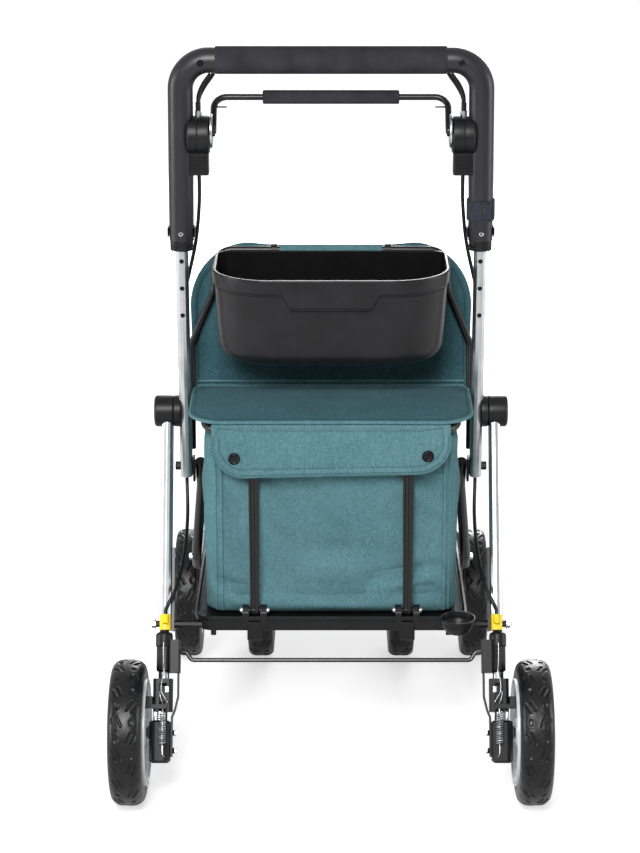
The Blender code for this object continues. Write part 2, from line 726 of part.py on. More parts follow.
def make_brake_bar():
    """A rod bent into a U between two pivot discs, with a sleeve to pull on."""
    pivot = on_upright(0, 0, LEVER_PIVOT_Z)
    bar_y = pivot.y + LEVER_FORWARD
    corners = [(-LEVER_ARM_X, pivot.y, pivot.z), (-LEVER_ARM_X, bar_y, LEVER_BAR_Z),
               (LEVER_ARM_X, bar_y, LEVER_BAR_Z), (LEVER_ARM_X, pivot.y, pivot.z)]
    bar = sweep(rounded_path(corners, LEVER_BEND), circle(LEVER_ROD_RADIUS, TUBE_SIDES), (0, 1, 0))
    discs = []
    for side in (-1, 1):
        face = HOUSING_INNER_X - GAP
        discs.append(rod((side * (face - LEVER_DISC_THICKNESS), pivot.y, pivot.z), (side * face, pivot.y, pivot.z),
                         LEVER_DISC_RADIUS, BOSS_SIDES))
    node(join(bar, *discs), "brake_bar", "black_tube", pivot)
    half = LEVER_GRIP_HALF_LENGTH
    y0, y1 = bar_y - LEVER_GRIP_DEPTH / 2, bar_y + LEVER_GRIP_DEPTH / 2
    z0, z1 = LEVER_BAR_Z - LEVER_GRIP_HEIGHT / 2, LEVER_BAR_Z + LEVER_GRIP_HEIGHT / 2
    outline = rounded_outline(y0, y1, z0, z1, [0.005] * 4, 2)
    sleeve = plate_x(outline, -half, half)
    bore = rod((-half - 0.01, bar_y, LEVER_BAR_Z), (half + 0.01, bar_y, LEVER_BAR_Z), LEVER_ROD_RADIUS + GAP,
               TUBE_SIDES)
    node(cut(sleeve, bore), "brake_grip", "grip_foam", pivot)


def make_strap():
    """A fabric strap wrapped round the right handle tube."""
    foot = on_handle(1, 0, STRAP_FOOT_Z)
    top = on_handle(1, 0, STRAP_TOP_Z)
    outer = HANDLE_RADIUS + 2 * GAP + STRAP_THICKNESS
    band = rod(foot, top, outer, HANDLE_SIDES)
    tongue = block((foot.x + 0.002, foot.y - outer - STRAP_THICKNESS, foot.z + 0.003),
                   (foot.x + 0.013, foot.y - outer + 0.004, top.z - 0.003))
    tube = rod(on_handle(1, 0, STRAP_FOOT_Z - 0.01), on_handle(1, 0, STRAP_TOP_Z + 0.01), HANDLE_RADIUS + 2 * GAP,
               HANDLE_SIDES)
    node(cut(join(band, tongue), tube), "cable_strap", "grip_foam")


def upper_cable_end(side):
    return on_upright(side * 0.2010, 0.0165, 0.4910)


def upper_cable_route(side):
    """From under the brake housing, past the collar and down the front of the upright to the hinge."""
    places = [(0.1700, 0.0, HOUSING_FOOT_Z - GAP), (0.1698, 0.0005, 0.7850), (0.1680, 0.0060, 0.7570),
              (0.1742, 0.0115, 0.7220), (0.1785, 0.0150, 0.6950), (0.1865, 0.0185, 0.6600),
              (0.1955, 0.0190, 0.6200), (0.2002, 0.0178, 0.5600), (0.2010, 0.0166, 0.5080)]
    return [on_upright(side * x, ahead, z) for x, ahead, z in places] + [upper_cable_end(side)]


def bridge_cable_route(side):
    """From the adjuster on the brake housing up into the underside of the handle."""
    under = HANDLE_TOP_Z - HANDLE_RADIUS - 2 * GAP
    places = [(ADJUSTER_X, 0.0, ADJUSTER_TOP_Z + GAP), (0.1694, 0.0, 0.9000), (0.1650, 0.0, 0.9120),
              (0.1570, 0.0, 0.9200), (0.1535, 0.0, 0.9245), (0.1530, 0.0, under)]
    return [on_upright(side * x, ahead, z) for x, ahead, z in places]


def lower_cable_end(side):
    return on_leg(side * 0.2165, -0.0170, YELLOW_ALONG[1] + 2 * GAP)


def lower_cable_route(side):
    """From the foot of the upright in a slack curve to the stop on the yellow sleeve."""
    places = [(0.1942, -0.0494, UPRIGHT_FOOT_Z - GAP), (0.1940, -0.0505, 0.3720), (0.1925, -0.0750, 0.3350),
              (0.1940, -0.1100, 0.3050), (0.1980, -0.1450, 0.2830), (0.2040, -0.1730, 0.2660),
              (0.2120, -0.1865, 0.2530)]
    end = lower_cable_end(side)
    return [Vector((side * x, y, z)) for x, y, z in places] + [end + leg_axis() * 0.005, end]


def make_cables(side):
    spacing = 6.0 * CABLE_RADIUS
    for kind, route in (("upper", upper_cable_route), ("bridge", bridge_cable_route), ("lower", lower_cable_route)):
        cable = tube_along(smooth_path(route(side), spacing), CABLE_RADIUS, 2)
        node(cable, f"{kind}_cable_{side_name(side)}", "cable_sheath")


def hoop_y(z):
    """How far forward the upper part of the hoop lies at a height."""
    return HOOP_SHOULDER_Y + (z - HOOP_SHOULDER_Z) * (HOOP_BAR_Y - HOOP_SHOULDER_Y) / (HOOP_BAR_Z - HOOP_SHOULDER_Z)


def make_hoop():
    """One bent tube with the pins that the seat turns on and the studs that join it to the uprights."""
    half = [(HOOP_WAIST_X, HOOP_FOOT_Y, HOOP_FOOT_Z), (HOOP_WAIST_X, HOOP_FOOT_Y + 0.001, 0.4400),
            (HOOP_WAIST_X, HOOP_SHOULDER_Y, HOOP_SHOULDER_Z), (HOOP_HALF_WIDTH, hoop_y(0.6250), 0.6250),
            (HOOP_HALF_WIDTH, HOOP_BAR_Y, HOOP_BAR_Z)]
    corners = [(-x, y, z) for x, y, z in half] + [(x, y, z) for x, y, z in reversed(half)]
    hoop = sweep(rounded_path(corners, HOOP_BEND), circle(HOOP_RADIUS, TUBE_SIDES), (0, 1, 0))
    extras = []
    for side in (-1, 1):
        pivot = Vector((side * HOOP_WAIST_X, SEAT_PIVOT_Y, SEAT_PIVOT_Z))
        inner = Vector((side * (SEAT_TUBE_X - 0.0075), SEAT_PIVOT_Y, SEAT_PIVOT_Z))
        extras.append(rod(pivot, inner, SEAT_PIN_RADIUS))
        front = on_upright(0, OVAL_DEPTH / 2 + GAP, HOOP_STUD_Z).y
        extras.append(rod((side * (HOOP_WAIST_X + 0.004), front, HOOP_STUD_Z),
                          (side * HOOP_WAIST_X, HOOP_FOOT_Y, HOOP_STUD_Z), 0.0030, 6))
    node(join(hoop, *extras), "hoop_tube", "black_tube")


def make_front_frame():
    """A tube from each upright down past the tray's pivot, forward and across, with two caster heads."""
    start_x = UPRIGHT_X - OVAL_WIDTH / 2 - GAP - BRACKET_THICKNESS - GAP - FRONT_TUBE_RADIUS
    half = [(start_x, -0.0480, 0.4020), (start_x, -0.0238, 0.3600),
            (FRONT_PIVOT_X, FRONT_PIVOT_Y, FRONT_PIVOT_Z), (FRONT_PIVOT_X, FRONT_PIVOT_Y + 0.020, FRONT_RAIL_Z),
            (FRONT_PIVOT_X, FRONT_CROSS_Y, FRONT_RAIL_Z)]
    corners = [(-x, y, z) for x, y, z in half] + [(x, y, z) for x, y, z in reversed(half)]
    path = [Vector(corners[0])]
    bends = [0.010, 0.012, 0.012, FRONT_RAIL_BEND]
    for i, bend in enumerate(bends + bends[::-1]):
        arc = rounded_path(corners[i:i + 3], bend, BEND_STEPS if bend > 0.02 else 2)
        path += arc[1:-1]
    path.append(Vector(corners[-1]))
    frame = sweep(path, circle(FRONT_TUBE_RADIUS, TUBE_SIDES), (1, 0, 0))
    extras = []
    for side in (-1, 1):
        x = side * CASTER_X
        stem_y = CASTER_AXLE_Y + CASTER_TRAIL
        extras.append(rod((x, FRONT_CROSS_Y, FRONT_RAIL_Z), (x, stem_y, FRONT_RAIL_Z + 0.004),
                          FRONT_TUBE_RADIUS - 0.0006))
        profile = [(0, HEAD_FOOT_Z), (HEAD_RADIUS, HEAD_FOOT_Z), (HEAD_RADIUS, HEAD_TOP_Z - 0.004),
                   (HEAD_RADIUS - 0.004, HEAD_TOP_Z), (0, HEAD_TOP_Z)]
        extras.append(revolve(profile, (x, stem_y, 0), (0, 0, 1), BOSS_SIDES))
        bolt_x = FRONT_PIVOT_X + FRONT_TUBE_RADIUS
        extras.append(rod((side * (FRONT_PIVOT_X - 0.002), FRONT_PIVOT_Y, FRONT_PIVOT_Z),
                          (side * (bolt_x + 0.003), FRONT_PIVOT_Y, FRONT_PIVOT_Z), 0.0045, 6))
    bores = []
    for side in (-1, 1):
        stem_y = CASTER_AXLE_Y + CASTER_TRAIL
        bores.append(rod((side * CASTER_X, stem_y, HEAD_FOOT_Z - 0.01), (side * CASTER_X, stem_y, HEAD_TOP_Z - 0.010),
                         STEM_RADIUS + RUNNING))
    node(cut(join(frame, *extras), *bores), "front_frame", "black_tube")


def make_caster(side):
    """A fork between its two wheels: a stem in the head, a curved leg and an axle right through."""
    x = side * CASTER_X
    stem_y = CASTER_AXLE_Y + CASTER_TRAIL
    shoulder_z = HEAD_FOOT_Z - 0.0006
    stem = revolve([(0, shoulder_z - 0.006), (HEAD_RADIUS, shoulder_z - 0.006), (HEAD_RADIUS, shoulder_z),
                    (STEM_RADIUS, shoulder_z), (STEM_RADIUS, HEAD_TOP_Z - 0.012), (0, HEAD_TOP_Z - 0.012)],
                   (x, stem_y, 0), (0, 0, 1), PIN_SIDES)
    rings = []
    for k in range(5):
        t = k / 4
        z = shoulder_z - 0.003 - t * (shoulder_z - 0.003 - AXLE_Z)
        middle = stem_y - CASTER_TRAIL * (1 - cos(0.5 * pi * t))
        wide = 0.013 - 0.003 * sin(pi * t)
        deep = 0.012 - 0.002 * sin(pi * t)
        outline = rounded_outline(x - wide, x + wide, middle - deep, middle + deep, [0.004] * 4, 2)
        rings.append([(u, v, z) for u, v in outline])
    leg = loft(rings)
    hub = rod((x - CASTER_HUB_HALF, CASTER_AXLE_Y, AXLE_Z), (x + CASTER_HUB_HALF, CASTER_AXLE_Y, AXLE_Z),
              CASTER_HUB_RADIUS, BOSS_SIDES)
    reach = FRONT_WHEEL_X[1] - CASTER_X + FRONT_TREAD / 2 - 0.001
    axle = rod((x - reach, CASTER_AXLE_Y, AXLE_Z), (x + reach, CASTER_AXLE_Y, AXLE_Z), FRONT_AXLE_RADIUS)
    caps = []
    for end in (-1, 1):
        cap_x = x + end * (reach - 0.0010)
        caps.append(rod((cap_x, CASTER_AXLE_Y, AXLE_Z), (cap_x + end * 0.0016, CASTER_AXLE_Y, AXLE_Z), 0.0085))
    node(join(leg, stem, hub, axle, *caps), f"caster_fork_{side_name(side)}", "black_plastic", (x, stem_y, AXLE_Z))


def make_front_wheel(side, place, name):
    """A wheel of one casting with its tyre: a crowned tread, dished sides and a hub on the fork's axle."""
    x = side * FRONT_WHEEL_X[place]
    half = FRONT_TREAD / 2
    bore = FRONT_AXLE_RADIUS + RUNNING
    hub_half = half - 0.0025
    web = 0.005
    rim = FRONT_RIM_RADIUS
    half_profile = [(bore, hub_half), (FRONT_HUB_RADIUS, hub_half), (FRONT_HUB_RADIUS + 0.002, web),
                    (rim - 0.004, web), (rim, half), (0.0900, half - 0.002), (WHEEL_RADIUS, half * 0.45)]
    profile = [(radius, -height) for radius, height in half_profile] + half_profile[::-1]
    wheel = revolve(profile, (x, CASTER_AXLE_Y, AXLE_Z), (1, 0, 0), FRONT_WHEEL_SIDES, ring=True)
    node(wheel, name, "tyre_rubber", (x, CASTER_AXLE_Y, AXLE_Z))


def make_rear_wheel(side):
    centre = (side * REAR_WHEEL_X, AXLE_Y, AXLE_Z)
    half = TREAD_WIDTH / 2
    seat = RIM_RADIUS + GAP
    half_profile = [(seat, half - 0.002), (0.0800, half), (0.0900, half - 0.003), (0.0940, half - 0.010),
                    (WHEEL_RADIUS, half * 0.3)]
    tyre_profile = [(radius, -height) for radius, height in half_profile] + half_profile[::-1]
    tyre = revolve(tyre_profile, centre, (side, 0, 0), REAR_WHEEL_SIDES, ring=True)
    node(tyre, f"rear_tyre_{side_name(side)}", "tyre_rubber", centre)
    axle_centre = (0, AXLE_Y, AXLE_Z)
    disc_in, disc_out = 0.2620, 0.2655
    barrel = RIM_RADIUS - 0.0035
    bore = AXLE_RADIUS + RUNNING
    ring_out = DRUM_RING_RADIUS + 0.0030
    rim_profile = [(bore, HUB_INNER_X), (HUB_RADIUS, HUB_INNER_X), (HUB_RADIUS + 0.001, disc_in),
                   (DRUM_RING_RADIUS, disc_in), (DRUM_RING_RADIUS, HUB_INNER_X), (ring_out, HUB_INNER_X),
                   (ring_out, disc_in), (barrel, RIM_INNER_X), (RIM_RADIUS, RIM_INNER_X),
                   (RIM_RADIUS, RIM_OUTER_X), (barrel, RIM_OUTER_X), (barrel - 0.001, disc_out),
                   (HUB_RADIUS + 0.001, disc_out), (HUB_RADIUS, HUB_OUTER_X), (bore, HUB_OUTER_X)]
    rim = revolve(rim_profile, axle_centre, (side, 0, 0), REAR_WHEEL_SIDES, ring=True)
    windows = []
    for k in range(WINDOW_COUNT):
        middle = 2 * pi * k / WINDOW_COUNT + pi / 2
        outline = []
        low, high = WINDOW_RADII
        for radius, spread in ((low, 0.40), (high, 0.46)):
            steps = 2
            angles = [middle + spread * (2 * j / steps - 1) for j in range(steps + 1)]
            if radius == high:
                angles.reverse()
            outline += [(AXLE_Y + radius * cos(a), AXLE_Z + radius * sin(a)) for a in angles]
        windows.append(plate_x(outline, side * (disc_in - 0.004), side * (disc_out + 0.004)))
    node(cut(rim, *windows), f"rear_rim_{side_name(side)}", "rim_plastic", centre)


def make_cross_tube():
    """A tube between the legs, stepped down to bolts through the yellow sleeves, with a strip up each leg."""
    centre = on_leg(0, 0, CROSS_ALONG)
    face = LEG_X - OVAL_WIDTH / 2 - GAP
    outer = LEG_X + YELLOW_WIDTH / 2 + GAP
    profile = [(0, -outer - 0.0045), (NUT_RADIUS, -outer - 0.0045), (NUT_RADIUS, -outer), (BOLT_RADIUS, -outer),
               (BOLT_RADIUS, -face), (CROSS_RADIUS, -face), (CROSS_RADIUS, face), (BOLT_RADIUS, face),
               (BOLT_RADIUS, outer), (NUT_RADIUS, outer), (NUT_RADIUS, outer + 0.0045), (0, outer + 0.0045)]
    tube = revolve(profile, centre, (1, 0, 0), TUBE_SIDES)
    strips = []
    for side in (-1, 1):
        strips.append(leg_block(side * (face - STRIP_THICKNESS), side * face, -STRIP_HALF_WIDTH, STRIP_HALF_WIDTH,
                                *STRIP_ALONG))
    node(join(tube, *strips), "cross_tube", "black_tube", (0, HINGE_Y, HINGE_Z))


def make_foot_bar():
    """A thin rod between the two feet, cranked up at its ends."""
    end = SIDE_BOX_X[0] - GAP
    rise = 0.0110
    half = [(end, rise), (end - 0.0075, rise), (end - 0.0140, 0.0)]
    corners = [on_leg(-x, 0, FOOT_BAR_ALONG + along) for x, along in half]
    corners += [on_leg(x, 0, FOOT_BAR_ALONG + along) for x, along in reversed(half)]
    bar = sweep(rounded_path(corners, 0.006, 2), circle(FOOT_BAR_RADIUS, TUBE_SIDES), (0, 1, 0))
    node(bar, "foot_bar", "black_tube", (0, HINGE_Y, HINGE_Z))


def make_foot(side):
    """The foot of a rear leg: yellow sleeve, rubber bellows with its side box, slider, lower cup and axle."""
    hinge = (0, HINGE_Y, HINGE_Z)
    axis = leg_axis()

    def tall(x0, x1, depth, along, radius):
        low, high = sorted((side * x0, side * x1))
        return leg_block(low, high, -depth / 2, depth / 2, along[0], along[1], radius)

    half = YELLOW_WIDTH / 2
    sleeve = tall(LEG_X - half, LEG_X + half, YELLOW_DEPTH, YELLOW_ALONG, 0.0055)
    stop_foot = lower_cable_end(side) - axis * 0.012
    stop = rod(stop_foot, lower_cable_end(side) - axis * 2 * GAP, FERRULE_RADIUS)
    web = leg_block(side * 0.2150, side * 0.2180, -0.0160, -0.0110, YELLOW_ALONG[1] - 0.010, YELLOW_ALONG[1] - 0.001)
    cross = on_leg(0, 0, CROSS_ALONG)
    bore = rod((side * 0.19, cross.y, cross.z), (side * 0.24, cross.y, cross.z), BOLT_RADIUS + GAP)
    node(cut(join(sleeve, web, stop), bore), f"yellow_sleeve_{side_name(side)}", "yellow_plastic", hinge)

    foot, top = BELLOWS_ALONG
    profile = [(0, foot), (BELLOWS_RADIUS - 0.002, foot), (BELLOWS_RADIUS, foot + 0.002), (BELLOWS_RADIUS, top - 0.012),
               (BELLOWS_RADIUS - 0.0006, top - 0.006), (BELLOWS_RADIUS - 0.0035, top - 0.001), (BELLOWS_NECK_RADIUS, top),
               (BELLOWS_NECK_RADIUS, YELLOW_ALONG[0] - GAP), (0, YELLOW_ALONG[0] - GAP)]
    body = revolve(profile, on_leg(side * BELLOWS_X, 0, 0), axis, BOSS_SIDES)
    box = tall(*SIDE_BOX_X, SIDE_BOX_DEPTH, SIDE_BOX_ALONG, 0.002)
    strap_end = CUP_FOOT_X[0] - GAP - SIDE_STRAP_THICKNESS / 2
    beside = SLIDER_X[0] - RUNNING - SIDE_STRAP_THICKNESS / 2
    route = [(SIDE_STRAP_X, SIDE_BOX_ALONG[0] + 0.004), (SIDE_STRAP_X, 0.0460),
             (beside - 0.0012, SLIDER_ALONG[0] + 0.0015), (strap_end, SLIDER_ALONG[0] - 0.0070), (strap_end, -0.0320)]
    wide = SIDE_STRAP_WIDTH / 2
    thin = SIDE_STRAP_THICKNESS / 2
    section = [(-thin, -wide), (thin, -wide), (thin, wide), (-thin, wide)]
    strap = sweep([on_leg(side * x, 0, along) for x, along in route], section, (1, 0, 0))
    bolts = []
    for along in (-0.0010, -0.0240):
        inner = side * (strap_end - 0.0040)
        bolts.append(rod(on_leg(inner, 0, along), on_leg(side * strap_end, 0, along), 0.0040, 6))
    node(join(body, box, strap, *bolts), f"bellows_{side_name(side)}", "black_plastic", hinge)

    slider = tall(*SLIDER_X, SLIDER_DEPTH, SLIDER_ALONG, 0.004)
    slot = leg_block(side * (SPRING_X - SLIDER_SLOT_WIDTH / 2), side * (SPRING_X + SLIDER_SLOT_WIDTH / 2),
                     -SLIDER_DEPTH, -SLIDER_DEPTH / 2 + SLIDER_SLOT_DEPTH, SLIDER_ALONG[0] - 0.01,
                     SLIDER_ALONG[1] - 0.006)
    slider = cut(slider, slot)
    piston = rod(on_leg(side * BELLOWS_X, 0, 0.060), on_leg(side * BELLOWS_X, 0, BELLOWS_ALONG[0] - GAP),
                 ROD_RADIUS)
    middle = (CUP_FOOT_X[0] + CUP_FOOT_X[1]) / 2
    core = rod(on_leg(side * middle, 0, 0.0), on_leg(side * middle, 0.001, 0.040), CORE_RADIUS)
    low, high = CUP_FOOT_ALONG
    rings = []
    for along, inset in ((low, 0.004), (low + 0.003, 0.0), (high - 0.002, 0.0), (high, 0.002)):
        x0, x1 = sorted((side * (CUP_FOOT_X[0] + inset), side * (CUP_FOOT_X[1] - inset)))
        deep = CUP_FOOT_DEPTH / 2 - inset
        outline = rounded_outline(x0, x1, -deep, deep, [0.008 - inset] * 4, 3)
        rings.append([on_leg(x, ahead, along) for x, ahead in outline])
    block_half = AXLE_BLOCK_HALF
    arm = leg_block(side * (CUP_FOOT_X[1] - 0.004), side * AXLE_BLOCK_X, -block_half, block_half, -block_half, block_half)
    outer = HUB_OUTER_X + RUNNING
    axle = rod((side * (AXLE_BLOCK_X - 0.003), AXLE_Y, AXLE_Z), (side * (outer + 0.001), AXLE_Y, AXLE_Z),
               AXLE_RADIUS)
    cap = rod((side * outer, AXLE_Y, AXLE_Z), (side * (outer + 0.0026), AXLE_Y, AXLE_Z), AXLE_CAP_RADIUS, BOSS_SIDES)
    node(join(loft(rings), core, slider, piston, arm, axle, cap), f"foot_{side_name(side)}", "black_plastic", hinge)


def make_brake_shoe(side):
    """A curved pad inside the rim's drum, on an arm that slides along the foot."""
    steps = 6
    outline = []
    for k in range(steps + 1):
        angle = SHOE_HALF_ANGLE * (2 * k / steps - 1)
        outline.append((SHOE_RADIUS * sin(angle), SHOE_RADIUS * cos(angle)))
    pad_foot = SHOE_ALONG[0] + 0.002
    outline += [(SHOE_HALF_DEPTH, pad_foot), (-SHOE_HALF_DEPTH, pad_foot)]
    pad = loft([[on_leg(side * x, ahead, along) for ahead, along in outline] for x in SHOE_X])
    inner = SLIDER_X[1] + RUNNING
    arm = leg_block(side * inner, side * (SHOE_X[0] + 0.002), -0.0178, SHOE_HALF_DEPTH - 0.0008,
                    SHOE_ALONG[0] + 0.0007, SHOE_ALONG[1])
    behind = -SLIDER_DEPTH / 2 - RUNNING
    tongue = leg_block(side * (SPRING_X - 0.0050), side * (inner + 0.004), -0.0185, behind, SHOE_ALONG[0],
                       SHOE_ALONG[0] + 0.0055)
    node(join(pad, arm, tongue), f"brake_shoe_{side_name(side)}", "black_plastic", on_leg(side * SHOE_X[0], 0, 0.04))


def least_gap(points, radius, apart):
    """The least space between stretches of a wire, measured between points at least so many steps apart."""
    return min((a - b).length for i, a in enumerate(points) for b in points[i + apart:]) - 2 * radius


def make_brake_spring(side):
    """A coil behind the lower cup: straight up to the shoe's tongue, and down to a hook on the cup."""
    low, high = SPRING_ALONG
    path = []
    turns = SPRING_CURLS * SPRING_CURL_POINTS
    for k in range(turns + 1):
        angle = 2 * pi * k / SPRING_CURL_POINTS + pi / 2
        along = low + (high - low) * k / turns
        path.append((SPRING_X + side * SPRING_RADIUS * cos(angle), -SPRING_BEHIND + SPRING_RADIUS * sin(angle), along))
    inner = -SPRING_BEHIND + SPRING_RADIUS
    top = SHOE_ALONG[0] - GAP
    path = ([(SPRING_X, -CUP_FOOT_DEPTH / 2 - GAP, SPRING_HOOK_ALONG),
             (SPRING_X, -CUP_FOOT_DEPTH / 2 - 2.2 * SPRING_WIRE_RADIUS, SPRING_HOOK_ALONG),
             (SPRING_X, inner - 0.0012, SPRING_HOOK_ALONG + 0.0025),
             (SPRING_X, inner, low - 0.0030)] + path
            + [(SPRING_X, inner, high + 0.0022), (SPRING_X, inner, top)])
    points = [on_leg(side * x, ahead, along) for x, ahead, along in path]
    gap = least_gap(points, SPRING_WIRE_RADIUS, SPRING_CURL_POINTS // 2)
    print(f"brake_spring_{side_name(side)}: least gap to itself {gap * 1000:.2f} mm")
    wire = tube_along(points, SPRING_WIRE_RADIUS, 1)
    node(wire, f"brake_spring_{side_name(side)}", "spring_steel", (0, HINGE_Y, HINGE_Z))


def make_tray():
    """A pan with a raised rim, the clevises of the struts and a cup for a walking stick."""
    def outline(inset):
        corner = TRAY_CORNER - inset
        return rounded_outline(-TRAY_HALF_WIDTH + inset, TRAY_HALF_WIDTH - inset, TRAY_REAR_Y + inset,
                               TRAY_FRONT_Y - inset, [corner] * 4, 3)

    bead = TRAY_BEAD
    under = TRAY_FLOOR_Z - TRAY_FLOOR_THICKNESS
    levels = [(under, TRAY_WALL), (TRAY_FOOT_Z, TRAY_WALL), (TRAY_FOOT_Z, bead), (TRAY_TOP_Z - 0.006, bead),
              (TRAY_TOP_Z - 0.005, 0.0), (TRAY_TOP_Z, 0.0), (TRAY_TOP_Z, TRAY_WALL), (TRAY_FLOOR_Z, TRAY_WALL)]
    pan = loft([[(x, y, z) for x, y in outline(inset)] for z, inset in levels])
    extras = []
    for side in (-1, 1):
        extras.append(block((side * (KEEPER_X - 0.0035), TRAY_REAR_Y + 0.0002, KEEPER_FOOT_Z),
                            (side * (KEEPER_X + 0.0035), TRAY_REAR_Y + TRAY_WALL - 0.0007, TRAY_FOOT_Z + 0.004)))
        x = side * STRUT_X
        gap = STRUT_FOOT_WIDTH / 2 + RUNNING
        for end in (-1, 1):
            near = x + end * gap
            far = near + end * LUG_THICKNESS
            top = STRUT_FOOT_Z + CLEVIS_HALF_HEIGHT
            behind, inside = TRAY_REAR_Y - 0.001, TRAY_REAR_Y + TRAY_WALL - 0.0005
            before = STRUT_FOOT_Y + CLEVIS_HALF_HEIGHT
            lug = [(behind, CLEVIS_FOOT_Z), (inside, CLEVIS_FOOT_Z), (inside, TRAY_FLOOR_Z - 0.001),
                   (before, TRAY_FLOOR_Z - 0.001), (before, STRUT_FOOT_Z + 0.003), (STRUT_FOOT_Y + 0.003, top),
                   (STRUT_FOOT_Y - 0.004, top), (behind, STRUT_FOOT_Z)]
            extras.append(plate_x(lug, near, far))
            nut = far - end * 0.0005
            extras.append(rod((nut, STRUT_FOOT_Y, STRUT_FOOT_Z), (nut + end * NUT_HEIGHT, STRUT_FOOT_Y, STRUT_FOOT_Z),
                              NUT_RADIUS, 6))
        reach = gap + LUG_THICKNESS
        extras.append(rod((x - reach, STRUT_FOOT_Y, STRUT_FOOT_Z), (x + reach, STRUT_FOOT_Y, STRUT_FOOT_Z),
                          STRUT_PIN_RADIUS))
        face = FRONT_PIVOT_X - FRONT_TUBE_RADIUS - 2 * RUNNING
        extras.append(rod((side * (TRAY_HALF_WIDTH - TRAY_WALL), FRONT_PIVOT_Y, FRONT_PIVOT_Z),
                          (side * face, FRONT_PIVOT_Y, FRONT_PIVOT_Z), TRAY_BOSS_RADIUS))
    cup = revolve([(0, CUP_FOOT_Z), (CUP_RADIUS - 0.003, CUP_FOOT_Z), (CUP_RADIUS - 0.0012, CUP_FOOT_Z + 0.003),
                   (CUP_RADIUS, CUP_TOP_Z), (CUP_RADIUS - CUP_WALL, CUP_TOP_Z),
                   (CUP_RADIUS - CUP_WALL - 0.001, CUP_FOOT_Z + 0.004), (0, CUP_FOOT_Z + CUP_WALL)],
                  (CUP_X, CUP_Y, 0), (0, 0, 1), CUP_SIDES)
    neck = block((CUP_X - 0.013, CUP_Y + CUP_RADIUS - 0.003, CUP_FOOT_Z + 0.004),
                 (CUP_X - 0.001, TRAY_REAR_Y + 0.0030, TRAY_TOP_Z - 0.003))
    tube = on_leg(0, 0, CROSS_ALONG)
    notch = block((-TRAY_HALF_WIDTH - 0.01, tube.y - CROSS_RADIUS - RUNNING, TRAY_FOOT_Z - 0.01),
                  (TRAY_HALF_WIDTH + 0.01, tube.y + TRAY_NOTCH_AHEAD, tube.z + CROSS_RADIUS + GAP))
    tray = join(cut(pan, notch), cup, neck, *extras)
    node(tray, "tray", "black_plastic", (0, FRONT_PIVOT_Y, FRONT_PIVOT_Z))


def make_strut(side):
    """A flat bar on the tray's clevis, tapered to an eye beside the seat frame's lug."""
    x = side * STRUT_X
    foot = Vector((0, STRUT_FOOT_Y, STRUT_FOOT_Z))
    top = Vector((0, STRUT_TOP_Y, STRUT_TOP_Z))
    line = (top - foot).normalized()
    ahead = Vector((0, line.z, -line.y))
    rings = []
    for place, width in ((foot - line * 0.0070, STRUT_FOOT_WIDTH - 0.003), (foot - line * 0.0045, STRUT_FOOT_WIDTH),
                         (foot + line * 0.0300, STRUT_FOOT_WIDTH), (foot + line * 0.0600, STRUT_FOOT_WIDTH - 0.002),
                         (top, STRUT_TOP_WIDTH), (top + line * 0.0025, STRUT_TOP_WIDTH - 0.003)):
        half, thick = width / 2, STRUT_THICKNESS / 2
        outline = rounded_outline(-half, half, -thick, thick, [0.0018] * 4, 2)
        rings.append([Vector((x + u, 0, 0)) + place + ahead * v for u, v in outline])
    bore = rod((x - 0.02, STRUT_FOOT_Y, STRUT_FOOT_Z), (x + 0.02, STRUT_FOOT_Y, STRUT_FOOT_Z),
               STRUT_PIN_RADIUS + GAP)
    node(cut(loft(rings), bore), f"strut_{side_name(side)}", "black_tube", (x, STRUT_FOOT_Y, STRUT_FOOT_Z))


def seat_outline(inset):
    rear = max(SEAT_REAR_CORNER - inset, 0.010)
    front = max(SEAT_FRONT_CORNER - inset * 0.3, 0.004)
    return rounded_outline(-SEAT_HALF_WIDTH + inset, SEAT_HALF_WIDTH - inset, SEAT_REAR_Y + inset,
                           SEAT_FRONT_Y - inset, [rear, rear, front, front], 4)


